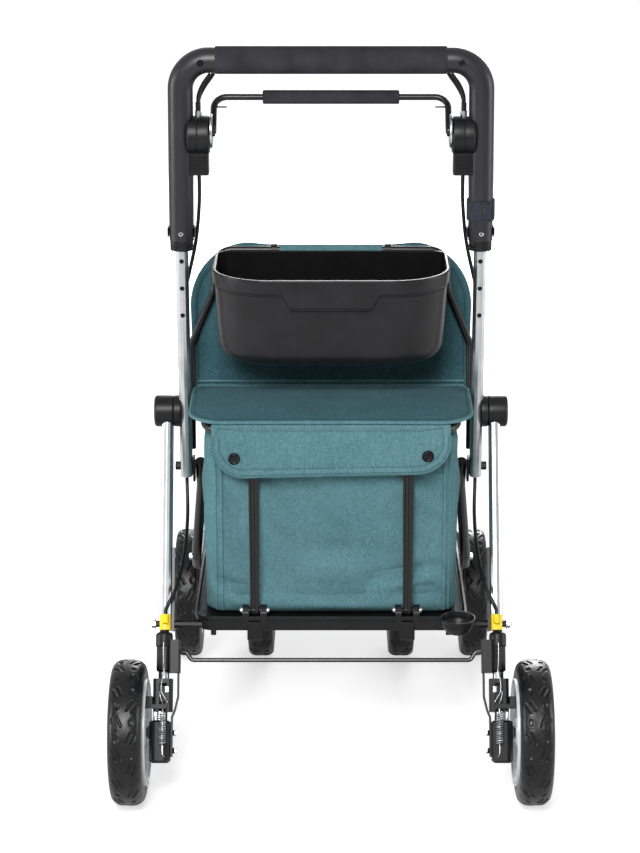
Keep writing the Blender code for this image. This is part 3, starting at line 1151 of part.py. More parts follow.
def make_seat():
    """A crowned cushion on a bent tube that turns on the hoop's pins, with two lugs for the struts."""
    pivot = (0, SEAT_PIVOT_Y, SEAT_PIVOT_Z)
    corners = [(-SEAT_TUBE_X, SEAT_PIVOT_Y, SEAT_PIVOT_Z), (-SEAT_TUBE_X, SEAT_PIVOT_Y - 0.03, SEAT_PIVOT_Z),
               (-SEAT_TUBE_X, SEAT_TUBE_REAR_Y, SEAT_PIVOT_Z)]
    corners += [(-x, y, z) for x, y, z in reversed(corners)]
    path = rounded_path(corners[1:-1], SEAT_BEND)
    frame = sweep([Vector(corners[0])] + path + [Vector(corners[-1])], circle(SEAT_TUBE_RADIUS, TUBE_SIDES), (1, 0, 0))
    extras, bores = [], []
    for side in (-1, 1):
        inner, outer = side * (SEAT_TUBE_X - 0.0060), side * (SEAT_TUBE_X + 0.0060)
        extras.append(rod((inner, SEAT_PIVOT_Y, SEAT_PIVOT_Z), (outer, SEAT_PIVOT_Y, SEAT_PIVOT_Z), 0.0078, 12))
        bores.append(rod((inner - side * 0.01, SEAT_PIVOT_Y, SEAT_PIVOT_Z), (outer + side * 0.01, SEAT_PIVOT_Y,
                         SEAT_PIVOT_Z), SEAT_PIN_RADIUS + GAP))
        lug_x = side * (STRUT_X - STRUT_TOP_WIDTH / 2 - RUNNING)
        extras.append(block((lug_x, STRUT_TOP_Y - 0.004, STRUT_TOP_Z - 0.006),
                            (lug_x - side * 0.003, STRUT_TOP_Y + 0.006, SEAT_PIVOT_Z)))
    node(cut(join(frame, *extras), *bores), "seat_frame", "black_tube", pivot)

    foot = SEAT_PIVOT_Z + SEAT_TUBE_RADIUS + GAP
    rings = []
    levels = ((0.0, 0.004), (0.003, 0.0), (SEAT_THICKNESS - 0.004, 0.0005),
              (SEAT_THICKNESS + SEAT_CROWN * 0.4, 0.010), (SEAT_THICKNESS + SEAT_CROWN, 0.040))
    for height, inset in levels:
        outline = seat_outline(inset)
        steps = edge_steps(seat_outline(0.0), 0.05)
        rings.append([drawn_in(x, y, foot + height) for x, y in divided(outline, steps)])
    node(loft(rings), "seat_cushion", "teal_fabric", pivot)


def edges(outline):
    return list(zip(outline, outline[1:] + outline[:1]))


def edge_steps(outline, longest):
    """How many steps each edge of an outline takes to stay under a length."""
    return [max(1, ceil(hypot(x1 - x0, y1 - y0) / longest)) for (x0, y0), (x1, y1) in edges(outline)]


def divided(outline, steps):
    """An outline with each of its edges cut into its own number of steps."""
    points = []
    for ((x0, y0), (x1, y1)), count in zip(edges(outline), steps):
        points += [(x0 + (x1 - x0) * k / count, y0 + (y1 - y0) * k / count) for k in range(count)]
    return points


def drawn_in(x, y, z):
    """A point of the cushion, with the middle of each long side pulled in a little."""
    middle = (SEAT_REAR_Y + SEAT_FRONT_Y) / 2
    half_depth = (SEAT_FRONT_Y - SEAT_REAR_Y) / 2
    pull = SEAT_PULL * max(0.0, 1 - (x / SEAT_HALF_WIDTH) ** 2) * (y - middle) / half_depth
    return Vector((x, y - pull, z))


def make_flap():
    """The flap that hangs from the seat's rear edge over the bag, with its two snaps."""
    outline = rounded_outline(-FLAP_HALF_WIDTH, FLAP_HALF_WIDTH, FLAP_FOOT_Z, FLAP_TOP_Z,
                              [FLAP_CORNER, FLAP_CORNER, 0.002, 0.002], 3)
    back, front = FLAP_Y - FLAP_THICKNESS / 2, FLAP_Y + FLAP_THICKNESS / 2
    flap = loft([[(x, y, z) for x, z in outline] for y in (back, front)])
    snaps = []
    for side in (-1, 1):
        profile = [(0, -0.001), (SNAP_RADIUS, -0.001), (SNAP_RADIUS, SNAP_HEIGHT - 0.0006),
                   (SNAP_RADIUS - 0.001, SNAP_HEIGHT), (0, SNAP_HEIGHT)]
        snaps.append(revolve(profile, (side * SNAP_X, back, SNAP_Z), (0, -1, 0), 12))
    node(join(flap, *snaps), "bag_flap", "teal_fabric", (0, FLAP_Y, FLAP_TOP_Z - 0.001))


def panel_half_width(z):
    """Half the width of the back panel at a height: straight sides, then a round arch."""
    arch_foot = 0.6000
    if z < arch_foot:
        t = (z - PANEL_FOOT_Z) / (arch_foot - PANEL_FOOT_Z)
        return PANEL_FOOT_HALF_WIDTH + (PANEL_HALF_WIDTH - PANEL_FOOT_HALF_WIDTH) * t
    t = (z - arch_foot) / (PANEL_TOP_Z - arch_foot)
    return 0.1000 + (PANEL_HALF_WIDTH - 0.1000) * (1 - t ** 2.6) ** 0.5


def make_back_panel():
    """An arched fabric panel in front of the hoop, with a sleeve round the hoop's bar."""
    levels = [PANEL_FOOT_Z, 0.5500, 0.6000, 0.6250, 0.6450, 0.6600, 0.6700, 0.6760, 0.6800, PANEL_TOP_Z]
    half = PANEL_THICKNESS / 2
    rings = []
    for z in levels:
        wide = panel_half_width(z)
        y = hoop_y(z) + PANEL_OFFSET
        rings.append([Vector((-wide, y - half, z)), Vector((wide, y - half, z)), Vector((wide, y + half, z)),
                      Vector((-wide, y + half, z))])
    panel = loft(rings)
    inner = HOOP_RADIUS + GAP
    outer = inner + SLEEVE_WALL
    length = SLEEVE_HALF_LENGTH
    sleeve = rod((-length, HOOP_BAR_Y, HOOP_BAR_Z), (length, HOOP_BAR_Y, HOOP_BAR_Z), outer)
    web = block((-length, HOOP_BAR_Y, HOOP_BAR_Z - 0.004), (length, HOOP_BAR_Y + PANEL_OFFSET, HOOP_BAR_Z + 0.0035))
    bar = rod((-length - 0.01, HOOP_BAR_Y, HOOP_BAR_Z), (length + 0.01, HOOP_BAR_Y, HOOP_BAR_Z), inner)
    node(cut(join(panel, sleeve, web), bar), "back_panel", "teal_fabric")


def make_bag():
    """The fabric bag: deep under the seat, shallow in front of the back panel."""
    def panel_front(z):
        return hoop_y(z) + PANEL_OFFSET + PANEL_THICKNESS / 2 + 2 * RUNNING

    foot = TRAY_FLOOR_Z + RUNNING
    levels = [(foot, 0.004, BAG_REAR_Y + 0.004), (foot + 0.006, 0.0, BAG_REAR_Y), (0.34, -0.0005, BAG_REAR_Y - 0.001),
              (0.44, -0.0005, BAG_REAR_Y), (BAG_SHELF_Z - 0.004, 0.001, BAG_REAR_Y + 0.001),
              (BAG_SHELF_Z, 0.005, BAG_REAR_Y + 0.006), (BAG_SHELF_Z + 0.0015, 0.004, panel_front(BAG_SHELF_Z)),
              (0.56, 0.004, panel_front(0.56)), (0.62, 0.012, panel_front(0.62)), (0.65, 0.026, panel_front(0.65)),
              (BAG_TOP_Z, 0.040, panel_front(BAG_TOP_Z) + 0.006)]
    rings = []
    for z, inset, rear in levels:
        corner = BAG_CORNER if z < BAG_SHELF_Z + 0.001 else BAG_CORNER * 0.8
        outline = rounded_outline(-BAG_HALF_WIDTH + inset, BAG_HALF_WIDTH - inset, rear, BAG_FRONT_Y - inset * 0.4,
                                  [corner if z <= BAG_SHELF_Z else 0.006] * 2 + [corner] * 2, 2)
        rings.append([(x, y, z) for x, y in outline])
    node(loft(rings), "bag", "teal_fabric")


def make_basket():
    """An open basket, flat at the back, with a rim band that dips at the front, and two hooks on the bar."""
    def outline(height, inset):
        t = (height - BASKET_FOOT_Z) / (BASKET_TOP_Z - BASKET_FOOT_Z)
        wide = BASKET_FOOT_HALF_WIDTH + (BASKET_HALF_WIDTH - BASKET_FOOT_HALF_WIDTH) * t ** 0.7 - inset
        front = BASKET_FOOT_FRONT_Y + (BASKET_FRONT_Y - BASKET_FOOT_FRONT_Y) * t ** 0.8 + inset
        rear_corner = max(BASKET_REAR_CORNER - inset, 0.004)
        front_corner = max(BASKET_FRONT_CORNER - inset, 0.010)
        return rounded_outline(-wide, wide, front, BASKET_BACK_Y - inset,
                               [front_corner, front_corner, rear_corner, rear_corner], 4)

    steps = edge_steps(outline(BASKET_TOP_Z, 0.0), 0.040)

    def ring(height, inset, dip=0.0):
        points = []
        for x, y in divided(outline(height, inset), steps):
            near_front = y < BASKET_FRONT_Y * 0.6
            share = max(0.0, 1 - (abs(x) / BASKET_DIP_HALF_WIDTH) ** 8) if near_front else 0.0
            points.append(Vector((x, y, height - dip * share)))
        return points

    band = BASKET_TOP_Z - BASKET_RIM_HEIGHT
    foot = BASKET_FOOT_Z
    wall = BASKET_WALL
    proud = BASKET_RIM_PROUD
    rings = [ring(foot, 0.010), ring(foot + 0.004, 0.004), ring(foot + 0.014, proud),
             ring(band - 0.0006, proud, BASKET_DIP), ring(band, 0.0, BASKET_DIP), ring(BASKET_TOP_Z, 0.0),
             ring(BASKET_TOP_Z, proud + wall), ring(foot + 0.014, proud + wall), ring(foot + wall + 0.001, 0.012)]
    basket = loft(rings)
    hooks = []
    for side in (-1, 1):
        x0, x1 = side * (HOOK_X - HOOK_WIDTH / 2), side * (HOOK_X + HOOK_WIDTH / 2)
        inner = HOOP_RADIUS + RUNNING
        outer = inner + HOOK_THICKNESS
        outline_yz = []
        for radius, turns in ((outer, range(7)), (inner, range(6, -1, -1))):
            outline_yz += [(HOOP_BAR_Y - radius * cos(pi * k / 6 * 0.95), HOOP_BAR_Z + radius * sin(pi * k / 6 * 0.95))
                           for k in turns]
        arc = plate_x(outline_yz, x0, x1)
        stem = block((x0, HOOP_BAR_Y - outer, BASKET_TOP_Z - 0.012), (x1, HOOP_BAR_Y - inner, HOOP_BAR_Z + 0.0005))
        tie = block((x0, BASKET_BACK_Y - 0.0015, BASKET_TOP_Z - 0.012),
                    (x1, HOOP_BAR_Y - inner, BASKET_TOP_Z - 0.006))
        hooks += [arc, stem, tie]
    node(join(basket, *hooks), "basket", "basket_plastic")


def main():
    for old in list(bpy.data.objects):
        bpy.data.objects.remove(old)
    make_handle()
    make_brake_bar()
    make_strap()
    make_hoop()
    make_front_frame()
    make_cross_tube()
    make_foot_bar()
    make_tray()
    make_seat()
    make_flap()
    make_back_panel()
    make_bag()
    make_basket()
    for side in (-1, 1):
        make_upright(side)
        make_lower_bracket(side)
        make_hinge(side)
        make_leg(side)
        make_collar(side)
        make_housing(side)
        make_cables(side)
        make_foot(side)
        make_brake_shoe(side)
        make_brake_spring(side)
        make_rear_wheel(side)
        make_caster(side)
        make_strut(side)
        make_front_wheel(side, 0, f"front_wheel_inner_{side_name(side)}")
        make_front_wheel(side, 1, f"front_wheel_outer_{side_name(side)}")
    print(len([piece for piece in bpy.data.objects if not piece.hide_render]), "nodes")


main()
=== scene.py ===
from math import acos, atan2, ceil, cos, exp, hypot, pi, radians, sin, tan

import bmesh
import bpy
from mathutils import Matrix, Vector, noise
from mathutils.kdtree import KDTree


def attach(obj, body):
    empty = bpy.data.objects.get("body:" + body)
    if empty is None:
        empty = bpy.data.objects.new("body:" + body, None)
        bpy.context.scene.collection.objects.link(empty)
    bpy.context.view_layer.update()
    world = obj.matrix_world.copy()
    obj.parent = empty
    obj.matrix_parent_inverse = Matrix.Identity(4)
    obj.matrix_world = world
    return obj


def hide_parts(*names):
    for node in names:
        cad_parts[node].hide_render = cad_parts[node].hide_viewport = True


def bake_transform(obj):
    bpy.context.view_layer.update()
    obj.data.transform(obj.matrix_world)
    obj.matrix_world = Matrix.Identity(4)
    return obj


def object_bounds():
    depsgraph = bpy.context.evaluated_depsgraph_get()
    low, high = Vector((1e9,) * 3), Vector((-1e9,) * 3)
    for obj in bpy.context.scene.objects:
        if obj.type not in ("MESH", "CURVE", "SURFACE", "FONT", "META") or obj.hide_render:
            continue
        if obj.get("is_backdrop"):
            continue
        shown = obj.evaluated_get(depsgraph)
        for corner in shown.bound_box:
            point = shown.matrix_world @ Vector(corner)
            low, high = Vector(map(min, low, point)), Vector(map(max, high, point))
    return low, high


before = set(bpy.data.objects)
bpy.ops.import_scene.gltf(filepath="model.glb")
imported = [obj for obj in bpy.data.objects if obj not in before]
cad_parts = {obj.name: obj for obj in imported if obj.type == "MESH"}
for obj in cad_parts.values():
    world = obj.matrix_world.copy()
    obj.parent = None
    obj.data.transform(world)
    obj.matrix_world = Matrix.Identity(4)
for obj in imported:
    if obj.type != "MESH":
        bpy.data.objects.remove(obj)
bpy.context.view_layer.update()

# Lines that the part is built on, in metres
SIDES = ((-1, "left"), (1, "right"))
HINGE_Y = -0.0532
HINGE_Z = 0.474
AXLE_Y = -0.247
AXLE_Z = 0.095
UPRIGHT_X = 0.1942
UPRIGHT_LEAN = radians(2.14)
OVAL_WIDTH = 0.016
OVAL_DEPTH = 0.026
LEG_LEAN = atan2(HINGE_Y - AXLE_Y, HINGE_Z - AXLE_Z)
SLEEVE_ALONG = 0.1415
HANDLE_X = 0.1915
HANDLE_RADIUS = 0.01615
HANDLE_TOP_Z = 0.9456
HANDLE_FOOT_Z = 0.7106
CABLE_RADIUS = 0.0024
CASTER_X = 0.1580
CASTER_AXLE_Y = 0.2470
CASTER_STEM_Y = 0.2820
OUTER_WHEEL_X = 0.2115
INNER_WHEEL_X = 0.1040
REAR_WHEEL_X = 0.2634
WHEEL_RADIUS = 0.0950
RAIL_X = 0.1900
RAIL_Z = 0.2010
RAIL_END_Y = 0.2250
RAIL_RADIUS = 0.0070
FRONT_PIVOT = (RAIL_X, 0.0660, 0.2217)
BRACKET_THICK = 0.0030
CLEARANCE = 0.0003
HOOP_X = 0.1870
HOOP_TOP_X = 0.1560
BAR_Y = 0.0195
BAR_Z = 0.6770
STRUT_X = 0.1000
STRUT_FOOT_Y = -0.1850
STRUT_FOOT_Z = 0.2414
SEAT_TUBE_X = 0.163
SEAT_TUBE_Z = 0.4842
SEAT_PIVOT_Y = -0.0180


def mm(table):
    """Millimetres as metres: a number, or a table of them."""
    return round(table * 1000) / 1e6 if isinstance(table, (int, float)) else [mm(row) for row in table]


def held(number):
    """The number, held between 0 and 1."""
    return min(1.0, max(0.0, number))


def colour(code):
    """An sRGB hex colour as linear light."""
    channels = [int(code[i : i + 2], 16) / 255 for i in (0, 2, 4)]
    return (*[c / 12.92 if c <= 0.04045 else ((c + 0.055) / 1.055) ** 2.4 for c in channels], 1.0)


# Materials

def add(tree, kind, inputs=None, **settings):
    """Adds a shader node; its inputs are values, or the nodes or sockets that feed them."""
    node = tree.nodes.new("ShaderNode" + kind)
    for key, value in settings.items():
        setattr(node, key, value)
    for key, value in (inputs or {}).items():
        if isinstance(value, bpy.types.Node):
            value = value.outputs[0]
        if isinstance(value, bpy.types.NodeSocket):
            tree.links.new(value, node.inputs[key])
        else:
            node.inputs[key].default_value = value
    return node


def surface(name, **values):
    """A material with its shader's plain values set, its node tree, shader and object coordinates."""
    material = bpy.data.materials.new(name)
    material.use_nodes = True
    tree = material.node_tree
    shader = tree.nodes["Principled BSDF"]
    for key, value in values.items():
        shader.inputs[key.replace("_", " ")].default_value = value
    return material, tree, shader, add(tree, "TexCoord").outputs["Object"]


def fed(tree, shader, base, rough=None):
    """Links a colour, and a roughness, to the shader."""
    tree.links.new(base, shader.inputs["Base Color"])
    if rough:
        tree.links.new(rough, shader.inputs["Roughness"])


def speckle(tree, place, size, detail=3.0, stretch=(1, 1, 1)):
    """Noise whose patches are about one size across, in metres, longer along a stretched axis."""
    mapping = add(tree, "Mapping", {"Vector": place, "Scale": [1 / s for s in stretch]})
    texture = add(tree, "TexNoise", {"Vector": mapping, "Scale": 1 / size, "Detail": detail})
    return texture.outputs["Fac"]


def between(tree, share, low, high, start=0.3, end=0.7):
    """A number that runs from low to high as a share runs from start to end."""
    ramp = add(tree, "MapRange", {"Value": share, "From Min": start, "From Max": end, "To Min": low, "To Max": high})
    return ramp.outputs[0]


def tinted(tree, share, *codes):
    """A colour from a ramp of hex colours spread evenly over the middle of a share."""
    ramp = add(tree, "ValToRGB", {"Fac": share})
    stops = ramp.color_ramp.elements
    while len(stops) < len(codes):
        stops.new(0.5)
    for k, code in enumerate(codes):
        stops[k].position = 0.3 + 0.4 * k / (len(codes) - 1)
        stops[k].color = colour(code)
    return ramp.outputs[0]


def bumped(tree, shader, height, depth):
    """Raises the shader's surface by a height texture whose full range is a depth in metres."""
    bump = add(tree, "Bump", {"Height": height, "Distance": depth, "Strength": 1.0})
    tree.links.new(bump.outputs[0], shader.inputs["Normal"])


def moulded(name, dark, light, rough, grain, depth, shine=0.3):
    """Plastic or rubber with a fine grain, a little patchy in its gloss and colour."""
    material, tree, shader, place = surface(name, Specular_IOR_Level=shine)
    patches = speckle(tree, place, 0.03)
    fine = speckle(tree, place, grain, 5.0)
    fed(tree, shader, tinted(tree, patches, dark, light), between(tree, fine, rough - 0.06, rough + 0.06))
    bumped(tree, shader, fine, depth)
    return material


def metal(name, dark, light, rough, brush, depth):
    """Metal with faint lines of drawing or polishing along its length, and cloudy gloss."""
    material, tree, shader, place = surface(name, Metallic=1.0)
    lines = speckle(tree, place, brush, 4.0, (1, 1, 40))
    clouds = speckle(tree, place, 0.02)
    fed(tree, shader, tinted(tree, clouds, dark, light), between(tree, lines, rough - 0.07, rough + 0.07))
    bumped(tree, shader, lines, depth)
    return material


def woven(name, codes, pitch, slub):
    """Cloth of mixed yarns: long slubs along and across, a plain weave and a soft nap."""
    material, tree, shader, place = surface(name, Roughness=0.9, Specular_IOR_Level=0.14, Sheen_Weight=0.07,
                                            Sheen_Roughness=0.45, Sheen_Tint=colour("b5cfd2"))
    weft = speckle(tree, place, pitch, 2.0, (slub, 1, 1))
    warp = speckle(tree, place, pitch, 2.0, (1, slub, slub))
    patches = speckle(tree, place, 0.07, 2.0)
    yarns = add(tree, "Math", {0: weft, 1: warp}, operation="ADD")
    mixed = add(tree, "Math", {0: yarns, 1: 0.5}, operation="MULTIPLY")
    toned = add(tree, "Math", {0: patches, 1: -0.5}, operation="ADD")
    shift = add(tree, "Math", {0: toned, 1: 0.22}, operation="MULTIPLY")
    share = add(tree, "Math", {0: mixed, 1: shift}, operation="ADD")
    fed(tree, shader, tinted(tree, share, *codes))
    parts = add(tree, "SeparateXYZ", {0: place})
    rise = add(tree, "Math", {0: parts.outputs["Y"], 1: parts.outputs["Z"]}, operation="ADD")
    waves = []
    for line in (parts, rise):
        turns = add(tree, "Math", {0: line, 1: 2 * pi / (2 * pitch)}, operation="MULTIPLY")
        waves.append(add(tree, "Math", {0: turns}, operation="SINE"))
    checks = add(tree, "Math", {0: waves[0], 1: waves[1]}, operation="MULTIPLY")
    even = add(tree, "Math", {0: checks, 1: 0.5}, operation="MULTIPLY")
    bumped(tree, shader, add(tree, "Math", {0: mixed, 1: even}, operation="ADD").outputs[0], pitch * 0.35)
    return material


# Satin anodised aluminium of the uprights and legs: pale grey, soft long highlights, faint drawing lines
aluminium = metal("satin_aluminium", "b8bbbd", "cbcdcf", 0.34, 0.0006, 0.00003)
# Zinc-plated screws, rods and cable ends: brighter, cooler, a sharper glint
plated = metal("plated_steel", "b7babd", "d4d6d8", 0.22, 0.0008, 0.00002)
# Spring wire: dull grey steel with a close glint on each turn
wire = metal("spring_wire", "9da0a2", "bcbec0", 0.3, 0.0005, 0.00002)
# Powder-coated steel tube: near black, satin, with the fine orange peel of the coat
coated = moulded("black_powder_coat", "0b0b0c", "141416", 0.30, 0.0012, 0.00005, 0.40)
# Handle tube: soft charcoal coat with a broad dull shine
handle_coat = moulded("charcoal_coat", "141418", "1d1d21", 0.38, 0.0007, 0.00006, 0.5)
# Moulded black plastic: fine spark grain, dull grey shine
plastic = moulded("black_moulded_plastic", "0c0c0e", "161618", 0.38, 0.0009, 0.00006, 0.28)
# Basket plastic: charcoal, satin, very fine grain
basket_plastic = moulded("basket_plastic", "181719", "211f22", 0.34, 0.0011, 0.00003, 0.26)
# Basket plastic inside the tub: the same plastic, darkened to deep black and dull as painted shade
basket_painted_shade = moulded("basket_plastic_painted_shade", "070708", "0d0d0f", 0.5, 0.0011, 0.00003, 0.10)
# Foam of the grip and the brake sleeve: dark grey, dull, with open pores
foam = moulded("closed_cell_foam", "2a2a2e", "38383d", 0.88, 0.0011, 0.00035, 0.2)
# Tyre rubber: near black, with a soft shine on the edges of the tread
rubber = moulded("tyre_rubber", "060607", "111113", 0.34, 0.0015, 0.00006, 0.36)
# Grey plastic of the rear rims: pale, satin
rim_grey = moulded("rim_plastic", "cfd2d4", "dfe2e4", 0.30, 0.0012, 0.00003, 0.5)
# Yellow nylon sleeves: strong warm yellow, slight gloss
yellow = moulded("yellow_nylon", "fdce12", "ffe42b", 0.34, 0.0010, 0.00004, 0.4)
# Cable sheath: black, smooth and a little shiny
sheath = moulded("cable_sheath", "0e0e0f", "171718", 0.33, 0.0010, 0.00002)
# Woven cloth of bag and flap: teal and grey yarns in a melange
cloth = woven("teal_melange_cloth", ("436b71", "5a838a", "739ba2"), 0.0007, 8.0)
# Seat and back panel: the same cloth darkened, as painted shade
painted_shade_cloth = woven("teal_cloth_painted_shade", ("2c4e55", "3c6169", "507780"), 0.0007, 8.0)
# Binding of the flap and the lid: the same cloth cut narrow, a little darker; on the flap's edge the darker tone is
# partly painted shade for the shadow line under it
binding = woven("teal_binding", ("33595f", "527c83", "6f999f"), 0.0006, 4.0)
# Sewing thread: dark teal, dull
thread = moulded("sewing_thread", "16313a", "22434a", 0.8, 0.0004, 0.00005)
# Webbing of the cable strap: dark blue-grey, coarse weave
webbing = woven("strap_webbing", ("24272d", "33373f", "444952"), 0.0011, 3.0)
# Snap buttons and the screws at the handle's bends: blackened steel, half polished
dark_steel = metal("blackened_steel", "1d1d1f", "333336", 0.30, 0.0008, 0.00002)
# Shade inside bored holes: black, dull
shade = moulded("hole_shade", "060606", "0b0b0b", 0.8, 0.002, 0.00001)

# The record's finish slots, each with its materials; the first is for the solids that stay
SLOTS = {
    "silver_tube": (aluminium,), "black_tube": (coated, handle_coat), "black_plastic": (plastic, shade),
    "grip_foam": (foam, webbing), "basket_plastic": (basket_plastic, basket_painted_shade),
    "teal_fabric": (cloth, painted_shade_cloth, binding, thread, dark_steel), "yellow_plastic": (yellow,),
    "tyre_rubber": (rubber,), "rim_plastic": (rim_grey,), "spring_steel": (wire, plated), "cable_sheath": (sheath,),
}


# Shapes

def piece(name, verts, faces, material, sharp=38):
    """A smooth-shaded mesh object, with doubled points merged and faces turned outwards."""
    bm = bmesh.new()
    made = [bm.verts.new(v) for v in verts]
    for face in faces:
        bm.faces.new([made[i] for i in face])
    bmesh.ops.remove_doubles(bm, verts=bm.verts, dist=1e-6)
    bmesh.ops.dissolve_degenerate(bm, edges=bm.edges, dist=1e-7)
    bmesh.ops.recalc_face_normals(bm, faces=bm.faces)
    mesh = bpy.data.meshes.new(name)
    bm.to_mesh(mesh)
    bm.free()
    mesh.polygons.foreach_set("use_smooth", [True] * len(mesh.polygons))
    mesh.set_sharp_from_angle(angle=radians(sharp))
    mesh.materials.append(material)
    obj = bpy.data.objects.new(name, mesh)
    bpy.context.collection.objects.link(obj)
    return obj


def skin(name, rings, material, caps=True, around=False, sharp=38):
    """A skin over rings of as many points each; around joins the last ring to the first."""
    count = len(rings[0])
    verts = [point for ring in rings for point in ring]
    faces = []
    for r in range(len(rings) if around else len(rings) - 1):
        low, high = r * count, (r + 1) % len(rings) * count
        faces += [(low + i, low + (i + 1) % count, high + (i + 1) % count, high + i) for i in range(count)]
    if caps and not around:
        faces += [tuple(range(count)), tuple(range((len(rings) - 1) * count, len(rings) * count))]
    return piece(name, verts, faces, material, sharp)


def turned(name, profile, centre, axis, material, sides=64, ring=False):
    """A profile of (radius, height) turned about an axis; ring joins its two ends."""
    axis = Vector(axis).normalized()
    across = Vector((0, 1, 0)) if abs(axis.x) > 0.9 else Vector((1, 0, 0))
    across = (across - axis * across.dot(axis)).normalized()
    over = axis.cross(across)
    centre = Vector(centre)
    rings = [[centre + axis * h + (across * cos(2 * pi * k / sides) + over * sin(2 * pi * k / sides)) * r
              for k in range(sides)] for r, h in profile]
    return skin(name, rings, material, caps=not ring, around=ring)


def softened(profile, radius, steps=4):
    """A profile whose inner corners are rounded to about one radius."""
    points = [Vector((*p, 0)) for p in profile]
    path = [points[0]]
    for before, corner, after in zip(points, points[1:], points[2:]):
        reach = min(radius, (corner - before).length * 0.45, (after - corner).length * 0.45)
        start = corner + (before - corner).normalized() * reach
        end = corner + (after - corner).normalized() * reach
        for k in range(steps + 1):
            t = k / steps
            path.append(start * (1 - t) ** 2 + corner * 2 * t * (1 - t) + end * t * t)
    path.append(points[-1])
    return [(p.x, p.y) for p in path]


def lathe(name, table, soft, centre, axis, material, sides=64, ring=False, steps=4):
    """A turned piece whose profile and the softness of its corners are in millimetres."""
    return turned(name, softened(mm(table), mm(soft), steps), centre, axis, material, sides, ring)


def peg(name, start, end, radius, material, sides=32, edge=0.0004):
    """A round peg with its two rims eased."""
    start, end = Vector(start), Vector(end)
    length = (end - start).length
    edge = min(edge, length * 0.4, radius * 0.5)
    profile = [(0, 0), (radius - edge, 0), (radius, edge), (radius, length - edge), (radius - edge, length),
               (0, length)]
    return turned(name, profile, start, end - start, material, sides)


def rounded_path(points, radius, steps=12):
    """A path whose inner corners are arcs; radius is one number, or one for each corner."""
    points = [Vector(p) for p in points]
    bends = radius if isinstance(radius, (list, tuple)) else [radius] * (len(points) - 2)
    path = [points[0]]
    for before, corner, after, bend in zip(points, points[1:], points[2:], bends):
        arrive = (corner - before).normalized()
        leave = (after - corner).normalized()
        turn = acos(max(-1, min(1, arrive.dot(leave))))
        reach = bend * tan(turn / 2)
        normal = (leave - arrive * arrive.dot(leave)).normalized()
        centre = corner - arrive * reach + normal * bend
        path += [centre - normal * bend * cos(turn * k / steps) + arrive * bend * sin(turn * k / steps)
                 for k in range(steps + 1)]
    return path + [points[-1]]


def both_sides(half):
    """A chain of points on the left, and back along its mirror image on the right."""
    return [(-x, y, z) for x, y, z in half] + [(x, y, z) for x, y, z in reversed(half)]


def smooth_path(points, spacing):
    """Points about one spacing apart on a smooth curve through the given ones."""
    points = [Vector(p) for p in points]
    ends = [2 * points[0] - points[1]] + points + [2 * points[-1] - points[-2]]
    path = [points[0]]
    for a, b, c, d in zip(ends, ends[1:], ends[2:], ends[3:]):
        steps = max(1, ceil((c - b).length / spacing))
        for k in range(1, steps + 1):
            t = k / steps
            path.append(0.5 * (2 * b + (c - a) * t + (2 * a - 5 * b + 4 * c - d) * t * t
                               + (3 * b - a - 3 * c + d) * t ** 3))
    return path


def swept(name, path, section, side, material, around=False, sharp=38):
    """A section of (across, over) points carried along a path; side is its first across direction."""
    path = [Vector(p) for p in path]
    rings = []
    across = Vector(side)
    last = len(path) - 1
    for i, point in enumerate(path):
        before = path[i - 1] if around or i else path[0]
        after = path[(i + 1) % len(path)] if around or i < last else path[last]
        tangent = (after - before).normalized()
        across = (across - tangent * across.dot(tangent)).normalized()
        over = tangent.cross(across)
        rings.append([point + across * u + over * v for u, v in section])
    return skin(name, rings, material, around=around, sharp=sharp)


def pipe(name, path, radius, side, material, sides=24, around=False):
    """A round bar or tube along a path."""
    section = [(radius * cos(2 * pi * k / sides), radius * sin(2 * pi * k / sides)) for k in range(sides)]
    return swept(name, path, section, side, material, around)


def rounded_outline(x0, x1, y0, y1, corners, steps=10):
    """A rectangle with round corners, given as radii from (x0, y0) anticlockwise."""
    spots = ((x0, y0, 1, 1, pi), (x1, y0, -1, 1, 1.5 * pi), (x1, y1, -1, -1, 0), (x0, y1, 1, -1, 0.5 * pi))
    points = []
    for (x, y, in_x, in_y, start), radius in zip(spots, corners):
        for k in range(steps + 1):
            angle = start + 0.5 * pi * k / steps
            points.append((x + in_x * radius + radius * cos(angle), y + in_y * radius + radius * sin(angle)))
    return points


def divided(outline, longest):
    """A closed outline with its edges cut into steps no longer than a length."""
    points = []
    for (x0, y0), (x1, y1) in zip(outline, outline[1:] + outline[:1]):
        count = max(1, ceil(hypot(x1 - x0, y1 - y0) / longest))
        points += [(x0 + (x1 - x0) * k / count, y0 + (y1 - y0) * k / count) for k in range(count)]
    return points


def block(name, low, high, material, edge=0.0006):
    """A box between two corners with eased edges."""
    x0, y0, z0 = (min(a, b) for a, b in zip(low, high))
    x1, y1, z1 = (max(a, b) for a, b in zip(low, high))
    rings = []
    for z, inset in ((z0, edge), (z0 + edge, 0), (z1 - edge, 0), (z1, edge)):
        outline = rounded_outline(x0 + inset, x1 - inset, y0 + inset, y1 - inset, [edge * 1.5] * 4, 3)
        rings.append([(x, y, z) for x, y in outline])
    return skin(name, rings, material)


def prism(name, outline, ends, material):
    """An outline of (y, z) points carried straight from one x to another."""
    return skin(name, [[(x, y, z) for y, z in outline] for x in ends], material)


def eased(obj, width=0.0005):
    """Rounds the sharp edges of a piece, so that they catch the light."""
    bevel = obj.modifiers.new("eased_edges", "BEVEL")
    bevel.width = width
    bevel.segments = 2
    bevel.limit_method = "ANGLE"
    bevel.angle_limit = radians(35)
    bevel.harden_normals = True
    return obj


def baked(obj):
    """The mesh that a piece's modifiers make."""
    return bpy.data.meshes.new_from_object(obj.evaluated_get(bpy.context.evaluated_depsgraph_get()))


